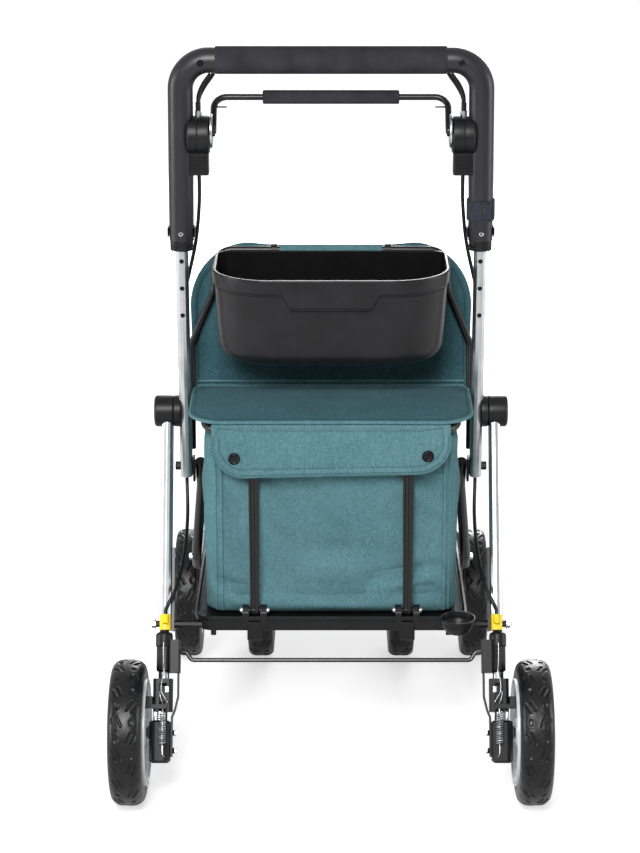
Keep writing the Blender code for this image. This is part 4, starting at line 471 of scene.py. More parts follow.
def cut_by(obj, cutter):
    """Cuts a form out of a piece, and removes the form."""
    cut = obj.modifiers.new("cut", "BOOLEAN")
    cut.operation, cut.solver, cut.object = "DIFFERENCE", "EXACT", cutter
    mesh = baked(obj)
    obj.modifiers.clear()
    obj.data = mesh
    bpy.data.objects.remove(cutter)
    return obj


def merged(name, parts):
    """Several meshes as one piece; each part keeps its own material."""
    with bpy.context.temp_override(active_object=parts[0], selected_editable_objects=parts):
        bpy.ops.object.join()
    parts[0].name = name
    return parts[0]


def carried(obj, body, *nodes, blend=()):
    """The piece rides on a body and stands for the nodes given, which are hidden.

    With blend given, its placement is baked into its mesh and it rides on no body; the second body, start and end in
    blend are not used.
    """
    if blend:
        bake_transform(obj)
    else:
        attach(obj, body)
    if nodes:
        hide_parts(*nodes)
    return obj


def on_upright(x, ahead, z):
    """A point at height z beside the upright's centre line, ahead of it by a distance."""
    return Vector((x, HINGE_Y - (z - HINGE_Z) * tan(UPRIGHT_LEAN) + ahead, z))


def on_leg(x, ahead, along):
    """A point by the leg's centre line: ahead of it and along it, measured from the axle."""
    y = AXLE_Y + along * sin(LEG_LEAN) + ahead * cos(LEG_LEAN)
    return Vector((x, y, AXLE_Z + along * cos(LEG_LEAN) - ahead * sin(LEG_LEAN)))


def upright_route(side, table):
    """Points by an upright, from a table of x, ahead and z in millimetres."""
    return [on_upright(side * x, ahead, z) for x, ahead, z in mm(table)]


def leg_route(side, table):
    """Points by a leg, from a table of x, ahead and along in millimetres."""
    return [on_leg(side * x, ahead, along) for x, ahead, along in mm(table)]


LEAN_AXIS = on_upright(0, 0, 1) - on_upright(0, 0, 0)
LEG_AXIS = on_leg(0, 0, 1) - on_leg(0, 0, 0)


def screw(name, centre, axis, radius, material=plated, proud=0.0012):
    """A pan-head screw with a hexagon socket."""
    axis = Vector(axis).normalized()
    head = turned(name, [(0, -0.001), (radius, -0.001), (radius, proud * 0.4), (radius * 0.82, proud * 0.9),
                         (radius * 0.5, proud), (radius * 0.46, proud * 0.35), (0, proud * 0.3)],
                  centre, axis, material, 28)
    socket = turned(name + "_socket", [(0, 0), (radius * 0.44, 0), (radius * 0.44, 0.0002), (0, 0.0002)],
                    Vector(centre) + axis * proud * 0.32, axis, shade, 6)
    return [head, socket]


# Cables: the routes are those of the solids, with a second strand beside each short one under the handle

# Where an upper cable ends beside its upright: x, ahead and z in millimetres
CABLE_STOP = (201, 16.5, 491)


def cable(name, route, body, *nodes, blend=()):
    """A brake cable's sheath along a smooth path, from one fitting on the object to another."""
    path = smooth_path(route, 0.006)
    tube = carried(pipe(name, path, CABLE_RADIUS, (1, 0, 0), sheath, 14), body, *nodes, blend=blend)


for side, tag in SIDES:
    route = upright_route(side, [
        (170, 0, 797.7), (169.8, 0.5, 785), (170.8, 5, 757), (174.2, 11, 722), (178.5, 15, 695), (186.5, 18.5, 660),
        (195.5, 19, 620), (200.2, 17.8, 560), (201, 16.6, 508), CABLE_STOP])
    cable(f"upper_cable_{tag}_sheath", route, "handle", f"upper_cable_{tag}", blend=("frame", route[0], route[-1]))
    route = upright_route(side, [(169.6, 0, 891.9), (169, 0, 900), (165.5, 0, 910), (160.5, 0, 918.5),
                                 (155.5, 0, 925), (153, 0, 928.85)])
    cable(f"bridge_cable_{tag}_sheath", route, "handle", f"bridge_cable_{tag}")
    route = upright_route(side, [(169.6, 6.6, 880), (169, 6.8, 894), (165, 6.6, 904), (159, 5.5, 914),
                                 (152.5, 4, 923), (149, 3, 929)])
    cable(f"bridge_cable_{tag}_second", route, "handle")
    end = on_leg(side * 0.2165, -0.0170, 0.1532)
    route = [(side * x, y, z) for x, y, z in mm([
        (194.2, -49.4, 382.7), (194, -50.5, 372), (192.5, -75, 335), (194, -110, 305), (198, -145, 283),
        (204, -173, 266), (212, -186.5, 253)])]
    cable(f"lower_cable_{tag}_sheath", route + [end + LEG_AXIS * 0.005, end], "frame", f"lower_cable_{tag}",
          blend=("rear_legs", Vector(route[0]), end))


# Handle: bent tube, foam grip, recessed screws at the bends

top, foot = on_upright(0, 0, HANDLE_TOP_Z), on_upright(0, 0, HANDLE_FOOT_Z)
corners = both_sides([(UPRIGHT_X, foot.y, foot.z), (HANDLE_X, top.y, top.z)])
parts = [pipe("handle", rounded_path(corners, 0.0375, 18), HANDLE_RADIUS, (0, 1, 0), handle_coat, 48)]
for side, _ in SIDES:
    parts += screw("foot_screw", on_upright(side * UPRIGHT_X, -HANDLE_RADIUS, 0.7210), (0, -1, 0), 0.0030)
    bend = Vector((side * 0.1652, top.y - HANDLE_RADIUS, 0.9444))
    head = [(0, -1), (4.6, -1), (4.6, 0.6), (4, 1.2), (2.6, 1.4), (2.2, 0.8), (2.2, 0.2), (0, 0.2)]
    parts += [lathe("bend_screw", head, 0.3, bend, (0, -1, 0), dark_steel, 40),
              peg("bend_socket", bend + Vector((0, -0.0001, 0)), bend + Vector((0, -0.0005, 0)), 0.0020, shade, 6)]
carried(merged("handle_tube_bent", parts), "handle", "handle_tube")

half, bore, outer = 0.147, HANDLE_RADIUS + 0.0002, 0.0176
profile = softened([(bore, -half), (0.0172, -half), (outer, -half + 0.003), (outer, half - 0.003), (0.0172, half),
                    (bore, half)], 0.0010)
carried(turned("grip_foam_sleeve", profile, top, (1, 0, 0), foam, 56, ring=True), "handle", "handle_grip")


# Collars under the handle tubes, and their release clips

COLLAR_FOOT_Z = 0.6975
CLIP_AHEAD = 0.0033


def bow(radius):
    """The edge of a release clip: half a ring round the front of the tube, with straight ends."""
    arc = [(radius * cos(pi * k / 28), CLIP_AHEAD + radius * sin(pi * k / 28)) for k in range(29)]
    return [(radius, -0.0060), *arc, (-radius, -0.0060)]


for side, tag in SIDES:
    x = side * UPRIGHT_X
    height = HANDLE_FOOT_Z - 0.0003 - COLLAR_FOOT_Z
    radius, bore = HANDLE_RADIUS + 0.0009, 0.0085
    profile = softened([(bore, 0.0012), (0.0125, 0), (radius - 0.0006, 0), (radius, 0.0010), (radius, 0.0042),
                        (radius - 0.0004, 0.0046), (radius - 0.0004, 0.0052), (radius, 0.0056), (radius, height),
                        (bore, height)], 0.0004)
    rings = []
    for r, h in profile:
        share = (r - bore) / (radius - bore)
        ring = []
        for u, v in rounded_outline(-0.0083, 0.0083, -0.0133, 0.0133, [0.0082] * 4):
            reach = hypot(u, v)
            stretch = 1 + (max(r, reach) / reach - 1) * share
            ring.append(on_upright(x, 0, COLLAR_FOOT_Z) + LEAN_AXIS * h + Vector((u, v, 0)) * stretch)
        rings.append(ring)
    carried(skin(f"collar_ring_{tag}", rings, plastic, caps=False, around=True), "handle", f"collar_{tag}")
    outline = bow(HANDLE_RADIUS + 0.0021) + bow(HANDLE_RADIUS + 0.0003)[::-1]
    rings = [[on_upright(x + u, v, z) for u, v in outline] for z in (0.7145, 0.7275)]
    clip = f"height_clip_{tag}"
    carried(eased(skin(clip + "_bow", rings, plastic)), clip, clip)


# Brake housings: a drum beside the handle tube, a ribbed box under it, the cable adjusters on top

LEVELS = [0.7980, 0.7986, 0.7996] + [0.8015 + 0.0030 * k for k in range(7)] + [0.8250, 0.8400]
INSETS = [0.0012, 0.0003] + [0.0] * 10
for side, tag in SIDES:
    drum = [(0, 154.7), (13, 154.7), (13.4, 155.3), (20.1, 155.5), (21.6, 154.7), (24.6, 156.9), (24.6, 170),
            (24, 170.4), (24, 171.2), (24.6, 171.6), (24.6, 182.6), (23, 184), (0, 184)]
    parts = [lathe("housing", drum, 0.6, on_upright(0, 0, 0.849), (side, 0, 0), plastic, 72)]
    outline = rounded_outline(0.1570, 0.1840, -0.012, 0.012, [0.004] * 4, 8)
    parts.append(skin("housing_box", [
        [on_upright(side * (u * (1 - inset * 6) + 0.1705 * inset * 6), v * (1 - inset * 40), z) for u, v in outline]
        for z, inset in zip(LEVELS, INSETS)], plastic))
    for k in range(6):
        z = 0.8025 + 0.0036 * k
        parts.append(block("housing_rib", (side * 0.1590, on_upright(0, -0.0124, z).y, z),
                           (side * 0.1820, on_upright(0, -0.0100, z).y, z + 0.0014), plastic, 0.0003))
    for ahead, nut, top_z in ((0.0, 0.0150, 0.8916), (0.0066, 0.0115, 0.8796)):
        low = on_upright(side * 0.1696, ahead, 0.866)
        start = low + LEAN_AXIS * 0.011
        end = start + LEAN_AXIS * ((top_z - start.z) / LEAN_AXIS.z)
        parts += [peg("adjuster_nut", low, low + LEAN_AXIS * nut, 0.0041, wire, 32, 0.0006),
                  peg("adjuster_barrel", start, end, 0.0033, plastic, 28)]
    carried(merged(f"brake_housing_{tag}_shell", parts), "handle", f"brake_housing_{tag}")


# Brake bar: a rod between two lever discs, a tab near each end, a sleeve to pull on

pivot = on_upright(0, 0, 0.854)
bar_y, bar_z, arm_x = pivot.y + 0.0350, 0.8917, 0.1508
corners = both_sides([(arm_x, pivot.y, pivot.z), (arm_x, bar_y, bar_z)])
parts = [pipe("brake_rod", rounded_path(corners, 0.017, 14), 0.0041, (0, 1, 0), coated, 28)]
for side, _ in SIDES:
    centre, inwards = (side * 0.1544, pivot.y, pivot.z), (-side, 0, 0)
    parts += [lathe("lever_disc", [(0, 0), (22.2, 0), (22.2, 2.2), (21.4, 2.8), (0, 3)], 0.5, centre, inwards, plated),
              lathe("lever_boss", [(0, 2), (7.5, 2), (6.8, 6), (0, 6.2)], 0.8, centre, inwards, coated, 40),
              block("rod_tab", (side * 0.1340, bar_y - 0.0040, 0.8780), (side * 0.1535, bar_y + 0.0022, 0.8812),
                    plated)]
    parts += screw("lever_screw", (centre[0] - side * 0.0062, pivot.y, pivot.z), inwards, 0.0034, coated, 0.0014)
carried(merged("brake_bar_rod", parts), "brake_lever", "brake_bar")

half = 0.088
outline = rounded_outline(-0.00625, 0.00625, -0.00875, 0.00875, [0.005] * 4, 8)
rings = [[(x, bar_y + u * (1 - inset / 0.007), bar_z + v * (1 - inset / 0.007)) for u, v in outline]
         for x, inset in ((-half, 0.0011), (-half + 0.0006, 0.0003), (-half + 0.0016, 0.0), (half - 0.0016, 0.0),
                          (half - 0.0006, 0.0003), (half, 0.0011))]
ends = [[(x, bar_y + u * 0.6, bar_z + v * 0.45) for u, v in outline] for x in (-half, half)]
carried(skin("brake_grip_sleeve", [ends[0], *rings, ends[1]], foam), "brake_lever", "brake_grip")


# Cable strap on the right handle tube, which splays towards its foot

splay = (UPRIGHT_X - HANDLE_X) / (HANDLE_TOP_Z - HANDLE_FOOT_Z)
low, high = (on_upright(HANDLE_X + splay * (HANDLE_TOP_Z - z), 0, z) for z in (0.738, 0.7645))
inner, outer = HANDLE_RADIUS + 0.0003, HANDLE_RADIUS + 0.0024
length = (high - low).length
profile = softened([(inner, 0), (outer, 0), (outer, length), (inner, length)], 0.0006)
band = turned("strap", profile, low, high - low, webbing, ring=True)
tongue = block("strap_tongue", (low.x + 0.002, low.y - outer - 0.0018, low.z + 0.003),
               (low.x + 0.0125, low.y - outer + 0.0020, high.z - 0.003), webbing)
carried(merged("cable_strap_band", [band, tongue]), "handle", "cable_strap")


# Uprights and legs keep their solids; the uprights' height holes are shaded

for side, tag in SIDES:
    x, face = side * UPRIGHT_X, -OVAL_DEPTH / 2
    parts = [peg("hole", on_upright(x, face + 0.0019, z), on_upright(x, face + 0.0029, z), 0.0032, shade, 32, 0.0)
             for z in [0.6104 + 0.0367 * k for k in range(3)]]
    carried(merged(f"upright_{tag}_holes", parts), "frame")


# Fold hinges: a disc with the cable's stop on each upright, and a cap on each leg

for side, tag in SIDES:
    centre, outwards = (0, HINGE_Y, HINGE_Z), (side, 0, 0)
    disc = [(0, 198.8), (19, 198.8), (21, 200), (21, 208.2), (20.2, 209.2), (0, 209.2)]
    end, = upright_route(side, [CABLE_STOP])
    parts = [lathe("hinge", disc, 0.6, centre, outwards, plastic, 72),
             peg("cable_stop", end - LEAN_AXIS * 0.012, end - LEAN_AXIS * 0.0003, 0.0040, plastic, 28)]
    carried(merged(f"hinge_disc_{tag}_drum", parts), "frame", f"hinge_disc_{tag}")
    cap = [(0, 209.5), (20.2, 209.5), (21, 210.4), (21, 232.2), (18.5, 235), (15, 235), (14.2, 234.2), (6, 234.2),
           (5.4, 234.6), (0, 234.8)]
    carried(lathe(f"hinge_cap_{tag}_drum", cap, 0.7, centre, outwards, plastic, 72), "rear_legs", f"hinge_cap_{tag}")


# Hoop behind the seat: one bent tube with the seat's pins and its studs on the uprights

HOOP_BEND_Z = 0.5515


def hoop_y(z):
    """How far forward the upper part of the hoop lies at a height."""
    return (z - HOOP_BEND_Z) * BAR_Y / 0.1255


corners = both_sides([(HOOP_X, -0.0300, 0.4140), (HOOP_X, -0.0290, 0.4400), (HOOP_X, 0.0, HOOP_BEND_Z),
                      (HOOP_TOP_X, hoop_y(0.6250), 0.6250), (HOOP_TOP_X, BAR_Y, BAR_Z)])
parts = [pipe("hoop", rounded_path(corners, 0.0240, 10), 0.0050, (0, 1, 0), coated)]
for side, _ in SIDES:
    stud = on_upright(side * 0.1910, OVAL_DEPTH / 2 + 0.0003, 0.4300)
    parts += [peg("seat_pin", (side * HOOP_X, SEAT_PIVOT_Y, SEAT_TUBE_Z), (side * 0.1555, SEAT_PIVOT_Y, SEAT_TUBE_Z),
                  0.0035, plated),
              peg("hoop_stud", stud, (side * HOOP_X, -0.0300, 0.4300), 0.0030, coated)]
carried(merged("hoop_bent", parts), "frame", "hoop_tube")


# Front frame: rails, cross tube and the two caster heads

start_x = UPRIGHT_X - OVAL_WIDTH / 2 - CLEARANCE - BRACKET_THICK - CLEARANCE - RAIL_RADIUS
corners = both_sides([(start_x, -0.0480, 0.4020), (start_x, -0.0238, 0.3600), FRONT_PIVOT, (RAIL_X, 0.0860, RAIL_Z),
                      (RAIL_X, RAIL_END_Y, RAIL_Z)])
bends = [0.010, 0.012, 0.012, 0.0350]
parts = [pipe("front_rails", rounded_path(corners, bends + bends[::-1], 10), RAIL_RADIUS, (1, 0, 0), coated, 28)]
for side, _ in SIDES:
    x = side * CASTER_X
    head = [(6.3, 194.5), (15, 194.5), (15, 226.2), (11, 230), (0, 230.2)]
    parts += [peg("head_arm", (x, RAIL_END_Y, RAIL_Z), (x, CASTER_STEM_Y, 0.2050), 0.0064, coated),
              lathe("caster_head", head, 1.2, (x, CASTER_STEM_Y, 0), (0, 0, 1), coated, 48),
              peg("pivot_bolt", (side * 0.1880, *FRONT_PIVOT[1:]), (side * 0.2000, *FRONT_PIVOT[1:]), 0.0045,
                  plated, 6)]
carried(merged("front_frame_bent", parts), "frame", "front_frame")


# Casters: a curved fork leg between two wheels

FORK_TOP_Z = 0.1939 - 0.003
for side, tag in SIDES:
    x = side * CASTER_X
    stem = [(0, 187.9), (15, 187.9), (15, 193.9), (6.1, 193.9), (6.1, 217.5), (0, 217.5)]
    parts = [lathe("fork_stem", stem, 0.6, (x, CASTER_STEM_Y, 0), (0, 0, 1), plastic, 48)]
    rings = []
    for t in [k / 24 for k in range(25)]:
        middle = CASTER_STEM_Y - 0.035 * (1 - cos(0.5 * pi * t))
        wide, deep = 0.013 - 0.003 * sin(pi * t), 0.012 - 0.002 * sin(pi * t)
        outline = rounded_outline(x - wide, x + wide, middle - deep, middle + deep, [0.004] * 4, 6)
        rings.append([(u, v, FORK_TOP_Z - t * (FORK_TOP_Z - AXLE_Z)) for u, v in outline])
    parts.append(skin("fork_leg", rings, plastic))
    reach = OUTER_WHEEL_X - CASTER_X + 0.0190
    for name, half, radius, material, sides, edge in (("fork_hub", 0.0307, 0.0125, plastic, 48, 0.0012),
                                                      ("axle", reach, 0.0047, plated, 32, 0.0004)):
        parts.append(peg(name, (x - half, CASTER_AXLE_Y, AXLE_Z), (x + half, CASTER_AXLE_Y, AXLE_Z), radius,
                         material, sides, edge))
    for end in (-1, 1):
        parts.append(lathe("axle_cap", [(0, 0), (8.5, 0), (8.5, 0.8), (6, 1.6), (0, 1.6)], 0.4,
                           (x + end * (reach - 0.0010), CASTER_AXLE_Y, AXLE_Z), (end, 0, 0), plastic, 32))
    carried(merged(f"caster_{tag}_fork", parts), f"caster_{tag}", f"caster_fork_{tag}")


# Wheels: the tread is cut with slanted slots and round dimples, in two staggered rows

TREAD_REPEATS = 14
TREAD_DEPTH = 0.0018


def slot_press(u, v, length, width):
    """How deep a rounded slot is pressed at a place: 1 in the slot, a little proud just round it."""
    reach = hypot(max(abs(u) - length / 2 + width / 2, 0), v) / (width / 2)
    if reach < 1:
        return 1 - reach ** 4
    return -0.22 * exp(-((reach - 1.35) / 0.22) ** 2) if reach < 2 else 0.0


def tread_press(arc, across, half, pitch):
    """The share of full depth at a place on the tread: arc along it, across from its middle."""
    presses = []
    for row in (-1, 1):
        v = across - row * half * 0.42
        u = (arc + (0.5 * pitch if row > 0 else 0)) % pitch - 0.25 * pitch
        lean = radians(24) * row
        along, off = u * cos(lean) - v * sin(lean), u * sin(lean) + v * cos(lean)
        presses += [slot_press(along, off - shift, 0.0170, 0.0036) for shift in (-0.0034, 0.0034)]
        presses.append(slot_press(u - 0.5 * pitch, v, 0.0095, 0.0066) * 0.8)
    deepest = max(presses)
    press = deepest if deepest > 0.02 else min(presses)
    if abs(across) > half * 0.72:
        shoulder = (abs(across) / half - 0.72) / 0.28
        press += 0.55 * shoulder * (0.5 + 0.5 * cos(4 * pi * arc / pitch + (pi if across > 0 else 0)))
    return press


def tyre(name, table, centre, side, half, turns=480):
    """A tyre turned from half a profile of (radius, half width) in millimetres, with its pattern pressed in."""
    profile = mm(table)
    dense = softened([(r, -w) for r, w in profile] + [(r, w) for r, w in profile[::-1]], 0.003, 5)
    fine = [dense[0]]
    for (r0, w0), (r1, w1) in zip(dense, dense[1:]):
        count = max(1, ceil(hypot(r1 - r0, w1 - w0) / 0.0012)) if min(r0, r1) > 0.080 else 1
        fine += [(r0 + (r1 - r0) * k / count, w0 + (w1 - w0) * k / count) for k in range(1, count + 1)]
    pitch = 2 * pi * WHEEL_RADIUS / TREAD_REPEATS
    rings = []
    for r, w in fine:
        worn = held((r - 0.0835) / 0.004)
        ring = []
        for k in range(turns):
            angle = 2 * pi * k / turns
            press = tread_press(angle * WHEEL_RADIUS, w, half, pitch) if worn else 0.0
            drop = 0.0004 * worn + TREAD_DEPTH * worn * press
            ring.append(Vector(centre) + Vector((side * w, (r - drop) * cos(angle), (r - drop) * sin(angle))))
        rings.append(ring)
    return skin(name, rings, rubber, caps=False, around=True, sharp=60)


for side, tag in SIDES:
    for place, kind in ((INNER_WHEEL_X, "inner"), (OUTER_WHEEL_X, "outer")):
        centre = (side * place, CASTER_AXLE_Y, AXLE_Z)
        body = f"front_wheel_{kind}_{tag}"
        parts = [tyre(f"{body}_tyre", [(5.4, 17.5), (14, 17.5), (16, 5), (60, 5), (64, 19.5), (66, 20), (90, 18.2),
                                       (93.5, 14), (95, 8.5)], centre, side, 0.020, 420)]
        for end in (-1, 1):
            web = [(15, 5.2), (18, 6.6), (56, 6.6), (60, 9), (62.5, 18), (64.2, 19.6), (64.2, 5.2)]
            parts.append(lathe("wheel_web", web, 1.2, centre, (end, 0, 0), plastic))
            for angle in [2 * pi * k / 5 + 0.3 for k in range(5)]:
                path = [Vector((centre[0] + end * off, centre[1] + radius * cos(angle),
                                centre[2] + radius * sin(angle))) for off, radius in mm([(7, 15.5), (8.5, 60)])]
                parts.append(swept("wheel_rib", path, mm([(-2, -4), (2, -4), (2, 4), (-2, 4)]), (1, 0, 0), plastic))
        carried(merged(f"{body}_cast", parts), body, body)

    body = f"rear_wheel_{tag}"
    rear = tyre(f"rear_tyre_{tag}_tread", [(70.3, 20.2), (74, 21.4), (80, 22.2), (88, 20.6), (92.5, 16), (94.5, 10),
                                           (95, 5)], (side * REAR_WHEEL_X, AXLE_Y, AXLE_Z), side, 0.0222)
    carried(rear, body, f"rear_tyre_{tag}")
    cast = [(6.4, 240.5), (18, 240.5), (19, 262), (56, 262), (56, 240.5), (59, 240.5), (59, 262), (65.5, 242.5),
            (66.5, 238.5), (70, 238.5), (70, 284.5), (66.5, 284.5), (65, 280), (62, 265.5), (19, 265.5), (18, 282.5),
            (6.4, 282.5)]
    rim = lathe(f"rear_rim_{tag}_cast", cast, 0.8, (0, AXLE_Y, AXLE_Z), (side, 0, 0), rim_grey, 96, True, 3)
    windows = []
    for middle in [2 * pi * k / 5 + pi / 2 for k in range(5)]:
        outline = [(AXLE_Y + radius * cos(middle + way * spread * (2 * j / 10 - 1)),
                    AXLE_Z + radius * sin(middle + way * spread * (2 * j / 10 - 1)))
                   for radius, spread, way in ((0.0240, 0.36, 1), (0.0500, 0.46, -1)) for j in range(11)]
        outline = softened(outline + outline[:2], 0.002, 3)[1:-4]
        windows.append(prism("window", outline, (side * 0.2560, side * 0.2720), rim_grey))
    carried(eased(cut_by(rim, merged("windows", windows))), body, f"rear_rim_{tag}")


# Struts between tray and seat: folded channels, wider at the top, with a groove down their rear face

for side, tag in SIDES:
    foot = Vector((side * STRUT_X, STRUT_FOOT_Y, STRUT_FOOT_Z))
    line = (Vector((side * STRUT_X, -0.1750, 0.4740)) - foot).normalized()
    ahead = Vector((0, line.z, -line.y))
    rings = []
    for along, half, deep in mm([(-7.2, 3, 2), (-6, 4.6, 2.7), (-3.5, 5.6, 3), (0, 6, 3), (60, 6, 3), (160, 6.8, 3),
                                 (225, 7, 3), (234, 5.8, 2.6), (236, 3.6, 1.8)]):
        lip, floor = min(0.0011, half * 0.3), -deep + 0.0013
        outline = [(-half, deep), (-half, -deep + lip), (-half + lip * 0.3, -deep + lip * 0.3), (-half + lip, -deep),
                   (-half * 0.62, -deep), (-half * 0.5, floor), (half * 0.02, floor), (half * 0.14, -deep),
                   (half - lip, -deep), (half - lip * 0.3, -deep + lip * 0.3), (half, -deep + lip), (half, deep)]
        rings.append([foot + line * along + Vector((u, 0, 0)) + ahead * v for u, v in outline])
    carried(skin(f"strut_{tag}_channel", rings, coated), f"strut_{tag}", f"strut_{tag}")


# Seat frame: a bent tube on the hoop's pins, with the struts' lugs

corners = both_sides([(SEAT_TUBE_X, SEAT_PIVOT_Y, SEAT_TUBE_Z), (SEAT_TUBE_X, -0.1720, SEAT_TUBE_Z)])
parts = [pipe("seat_loop", rounded_path(corners, 0.035, 14), 0.0060, (1, 0, 0), coated, 28)]
for side, _ in SIDES:
    lug_x = side * (STRUT_X - 0.0045 - 0.0005)
    parts += [lathe("seat_eye", [(3.8, -6), (7.8, -6), (7.8, 6), (3.8, 6)], 0.6,
                    (side * SEAT_TUBE_X, SEAT_PIVOT_Y, SEAT_TUBE_Z), (1, 0, 0), coated, 36, True),
              block("strut_lug", (lug_x, -0.1790, 0.4680), (lug_x - side * 0.003, -0.1690, SEAT_TUBE_Z), coated,
                    0.0005)]
carried(merged("seat_frame_bent", parts), "seat", "seat_frame")


# Cloth pieces: each is skinned over rings that step in from its outline towards a spine

def inset_ring(outline, spine, distance, share=0.0):
    """The outline moved in by a distance, then by a share of the rest of the way to its spine."""
    (x0, y0), (x1, _) = spine
    ring = []
    for x, y in outline:
        goal = Vector((min(max(x, x0), x1), y0))
        start = Vector((x, y))
        reach = (goal - start).length
        step = min(distance, reach) + share * max(0.0, reach - distance)
        ring.append(start + (goal - start) * (step / max(reach, 1e-9)))
    return ring


def cloth_skin(name, outline, spine, table, place, material):
    """A closed cloth form: each row of the table is a distance in mm, a share beyond it and a depth in mm."""
    rings = [[place(p, mm(depth)) for p in inset_ring(outline, spine, mm(distance), share)]
             for distance, share, depth in table]
    return skin(name, rings, material, sharp=70)


def opened(row):
    """A closed row of points, turned so that it starts after its widest gap."""
    start = max(range(len(row)), key=lambda k: (row[k] - row[k - 1]).length)
    return row[start:] + row[:start]


def stitches(name, path, normal, length=0.0024, gap=0.0012, radius=0.00032):
    """A row of stitches on a cloth, each a small bead that dips at both ends."""
    verts, faces = [], []
    normal = Vector(normal).normalized()
    left = 0.0
    for a, b in zip(path, path[1:]):
        a, b = Vector(a), Vector(b)
        run = (b - a).length
        if run < 1e-9:
            continue
        ahead = (b - a) / run
        beside = ahead.cross(normal).normalized()
        up = beside.cross(ahead)
        place = left
        while place < run:
            middle = a + ahead * place
            base = len(verts)
            for t, r in ((-0.5, 0.3), (-0.25, 1.0), (0.25, 1.0), (0.5, 0.3)):
                lift = radius * (0.4 if abs(t) < 0.4 else -0.6)
                verts += [middle + ahead * (length * t) + beside * (radius * r * cos(pi * k / 3))
                          + up * (lift + radius * r * sin(pi * k / 3)) for k in range(6)]
            for s in range(3):
                faces += [(base + s * 6 + k, base + s * 6 + (k + 1) % 6, base + s * 6 + 6 + (k + 1) % 6,
                           base + s * 6 + 6 + k) for k in range(6)]
            faces += [tuple(base + k for k in range(6)), tuple(base + 18 + k for k in range(6))]
            place += length + gap
        left = place - run
    return piece(name, verts, faces, thread, 80)


def ripple(point, size, seed):
    """Even noise from -1 to 1 whose swells are about one size across."""
    return noise.noise(Vector(point) / size + Vector((seed, seed * 1.7, seed * 0.6)))


def inflated(obj, cap, hold, swell=4.0, voxel=0.005, last=20):
    """Swells a copy of a closed cloth form by simulation, and carries its moves back to the piece.

    No point moves further than the cap, and hold says how much of its move a point takes.
    """
    scene = bpy.context.scene
    copy = bpy.data.objects.new("swelling", obj.data.copy())
    scene.collection.objects.link(copy)
    remesh = copy.modifiers.new("even_mesh", "REMESH")
    remesh.mode = "VOXEL"
    remesh.voxel_size = voxel
    even = baked(copy)
    copy.modifiers.clear()
    copy.data = even
    rest = [v.co.copy() for v in even.vertices]
    swelling = copy.modifiers.new("swell", "CLOTH")
    settings = swelling.settings
    settings.use_pressure = True
    settings.uniform_pressure_force = swell
    settings.effector_weights.gravity = 0.0
    settings.tension_stiffness = 20
    settings.compression_stiffness = 12
    settings.bending_stiffness = 0.6
    swelling.point_cache.frame_start = 1
    swelling.point_cache.frame_end = last
    for step in range(1, last + 1):
        scene.frame_set(step)
    formed = baked(copy)
    scene.frame_set(1)
    tree = KDTree(len(rest))
    for i, point in enumerate(rest):
        tree.insert(point, i)
    tree.balance()
    moves = []
    for v, start in zip(formed.vertices, rest):
        move = v.co - start
        moves.append(move * min(1.0, cap / max(move.length, 1e-9)))
    for v in obj.data.vertices:
        near = tree.find_n(v.co, 6)
        weights = [1 / (distance + 0.001) for _, _, distance in near]
        move = sum((moves[i] * w for (_, i, _), w in zip(near, weights)), Vector()) / sum(weights)
        v.co += move * hold(v.co)
    bpy.data.objects.remove(copy)


# Seat cushion: thin at its welted edge and crowned in the middle

SEAT_HALF = 0.184
SEAT_MIDDLE_Y = -0.110
SEAT_FOOT_Z = 0.4905
WELT_RISE = 0.0095
seat_outline = divided(rounded_outline(-SEAT_HALF, SEAT_HALF, -0.190, -0.030, [0.048, 0.048, 0.012, 0.012], 12),
                       0.006)
seat_spine = ((-0.104, SEAT_MIDDLE_Y), (0.104, SEAT_MIDDLE_Y))


def seat_point(p, height):
    """A point of the cushion at a height over its foot; the middle of each long side is pulled in a little."""
    pull = 0.0030 * max(0.0, 1 - (p.x / SEAT_HALF) ** 2) * (p.y - SEAT_MIDDLE_Y) / 0.080
    return Vector((p.x, p.y - pull, SEAT_FOOT_Z + height))


def seat_hold(point):
    """The cushion's top swells freely, its underside and its welted edge stay put."""
    return held((point.z - (SEAT_FOOT_Z + WELT_RISE) - 0.003) / 0.005)


# The cushion takes the darkened copy of the cloth, as painted shade
cushion = cloth_skin("seat_cushion_pad", seat_outline, seat_spine, (
    (30, 0.97, 0.2), (30, 0.5, 0), (30, 0, 0), (20, 0, 0.4), (12, 0, 3.6), (5, 0, 6.8), (2.2, 0, 8.2), (1.2, 0, 9.5),
    (2.2, 0, 10.8), (5, 0, 12), (6.2, 0, 12.2), (7.5, 0, 12.7), (12, 0, 13.6), (18, 0, 14.7), (28, 0, 15.8),
    (40, 0, 16.7), (40, 0.2, 17.1), (40, 0.4, 17.4), (40, 0.6, 17.6), (40, 0.8, 17.7), (40, 0.97, 17.7)),
    seat_point, painted_shade_cloth)
inflated(cushion, 0.0016, seat_hold)
for v in cushion.data.vertices:
    free = seat_hold(v.co)
    v.co.z += free * (0.0007 * ripple(v.co, 0.06, 2.0) + 0.0003 * ripple(v.co, 0.02, 5.0))
    v.co.z -= 0.0012 * free * exp(-((v.co.x + 0.02) / 0.07) ** 2 - ((v.co.y + 0.12) / 0.04) ** 2)
carried(cushion, "seat", "seat_cushion")
LAP_X = -0.031
edge = [seat_point(p, WELT_RISE) for p in inset_ring(seat_outline, seat_spine, 0.0012)]
joint = min(edge, key=lambda p: abs(p.x - LAP_X) + (p.y > SEAT_MIDDLE_Y) * 9)
reach = Vector((0.0045, 0, 0))
welt = [pipe("seat_welt", edge, 0.0022, (0, 0, 1), cloth, 16, around=True),
        peg("welt_lap", joint - reach, joint + reach, 0.0029, cloth, 20, 0.0012)]
carried(merged("seat_cushion_welt", welt), "seat")
ring = [seat_point(p, 0.0126) for p in inset_ring(seat_outline, seat_spine, 0.0062)]
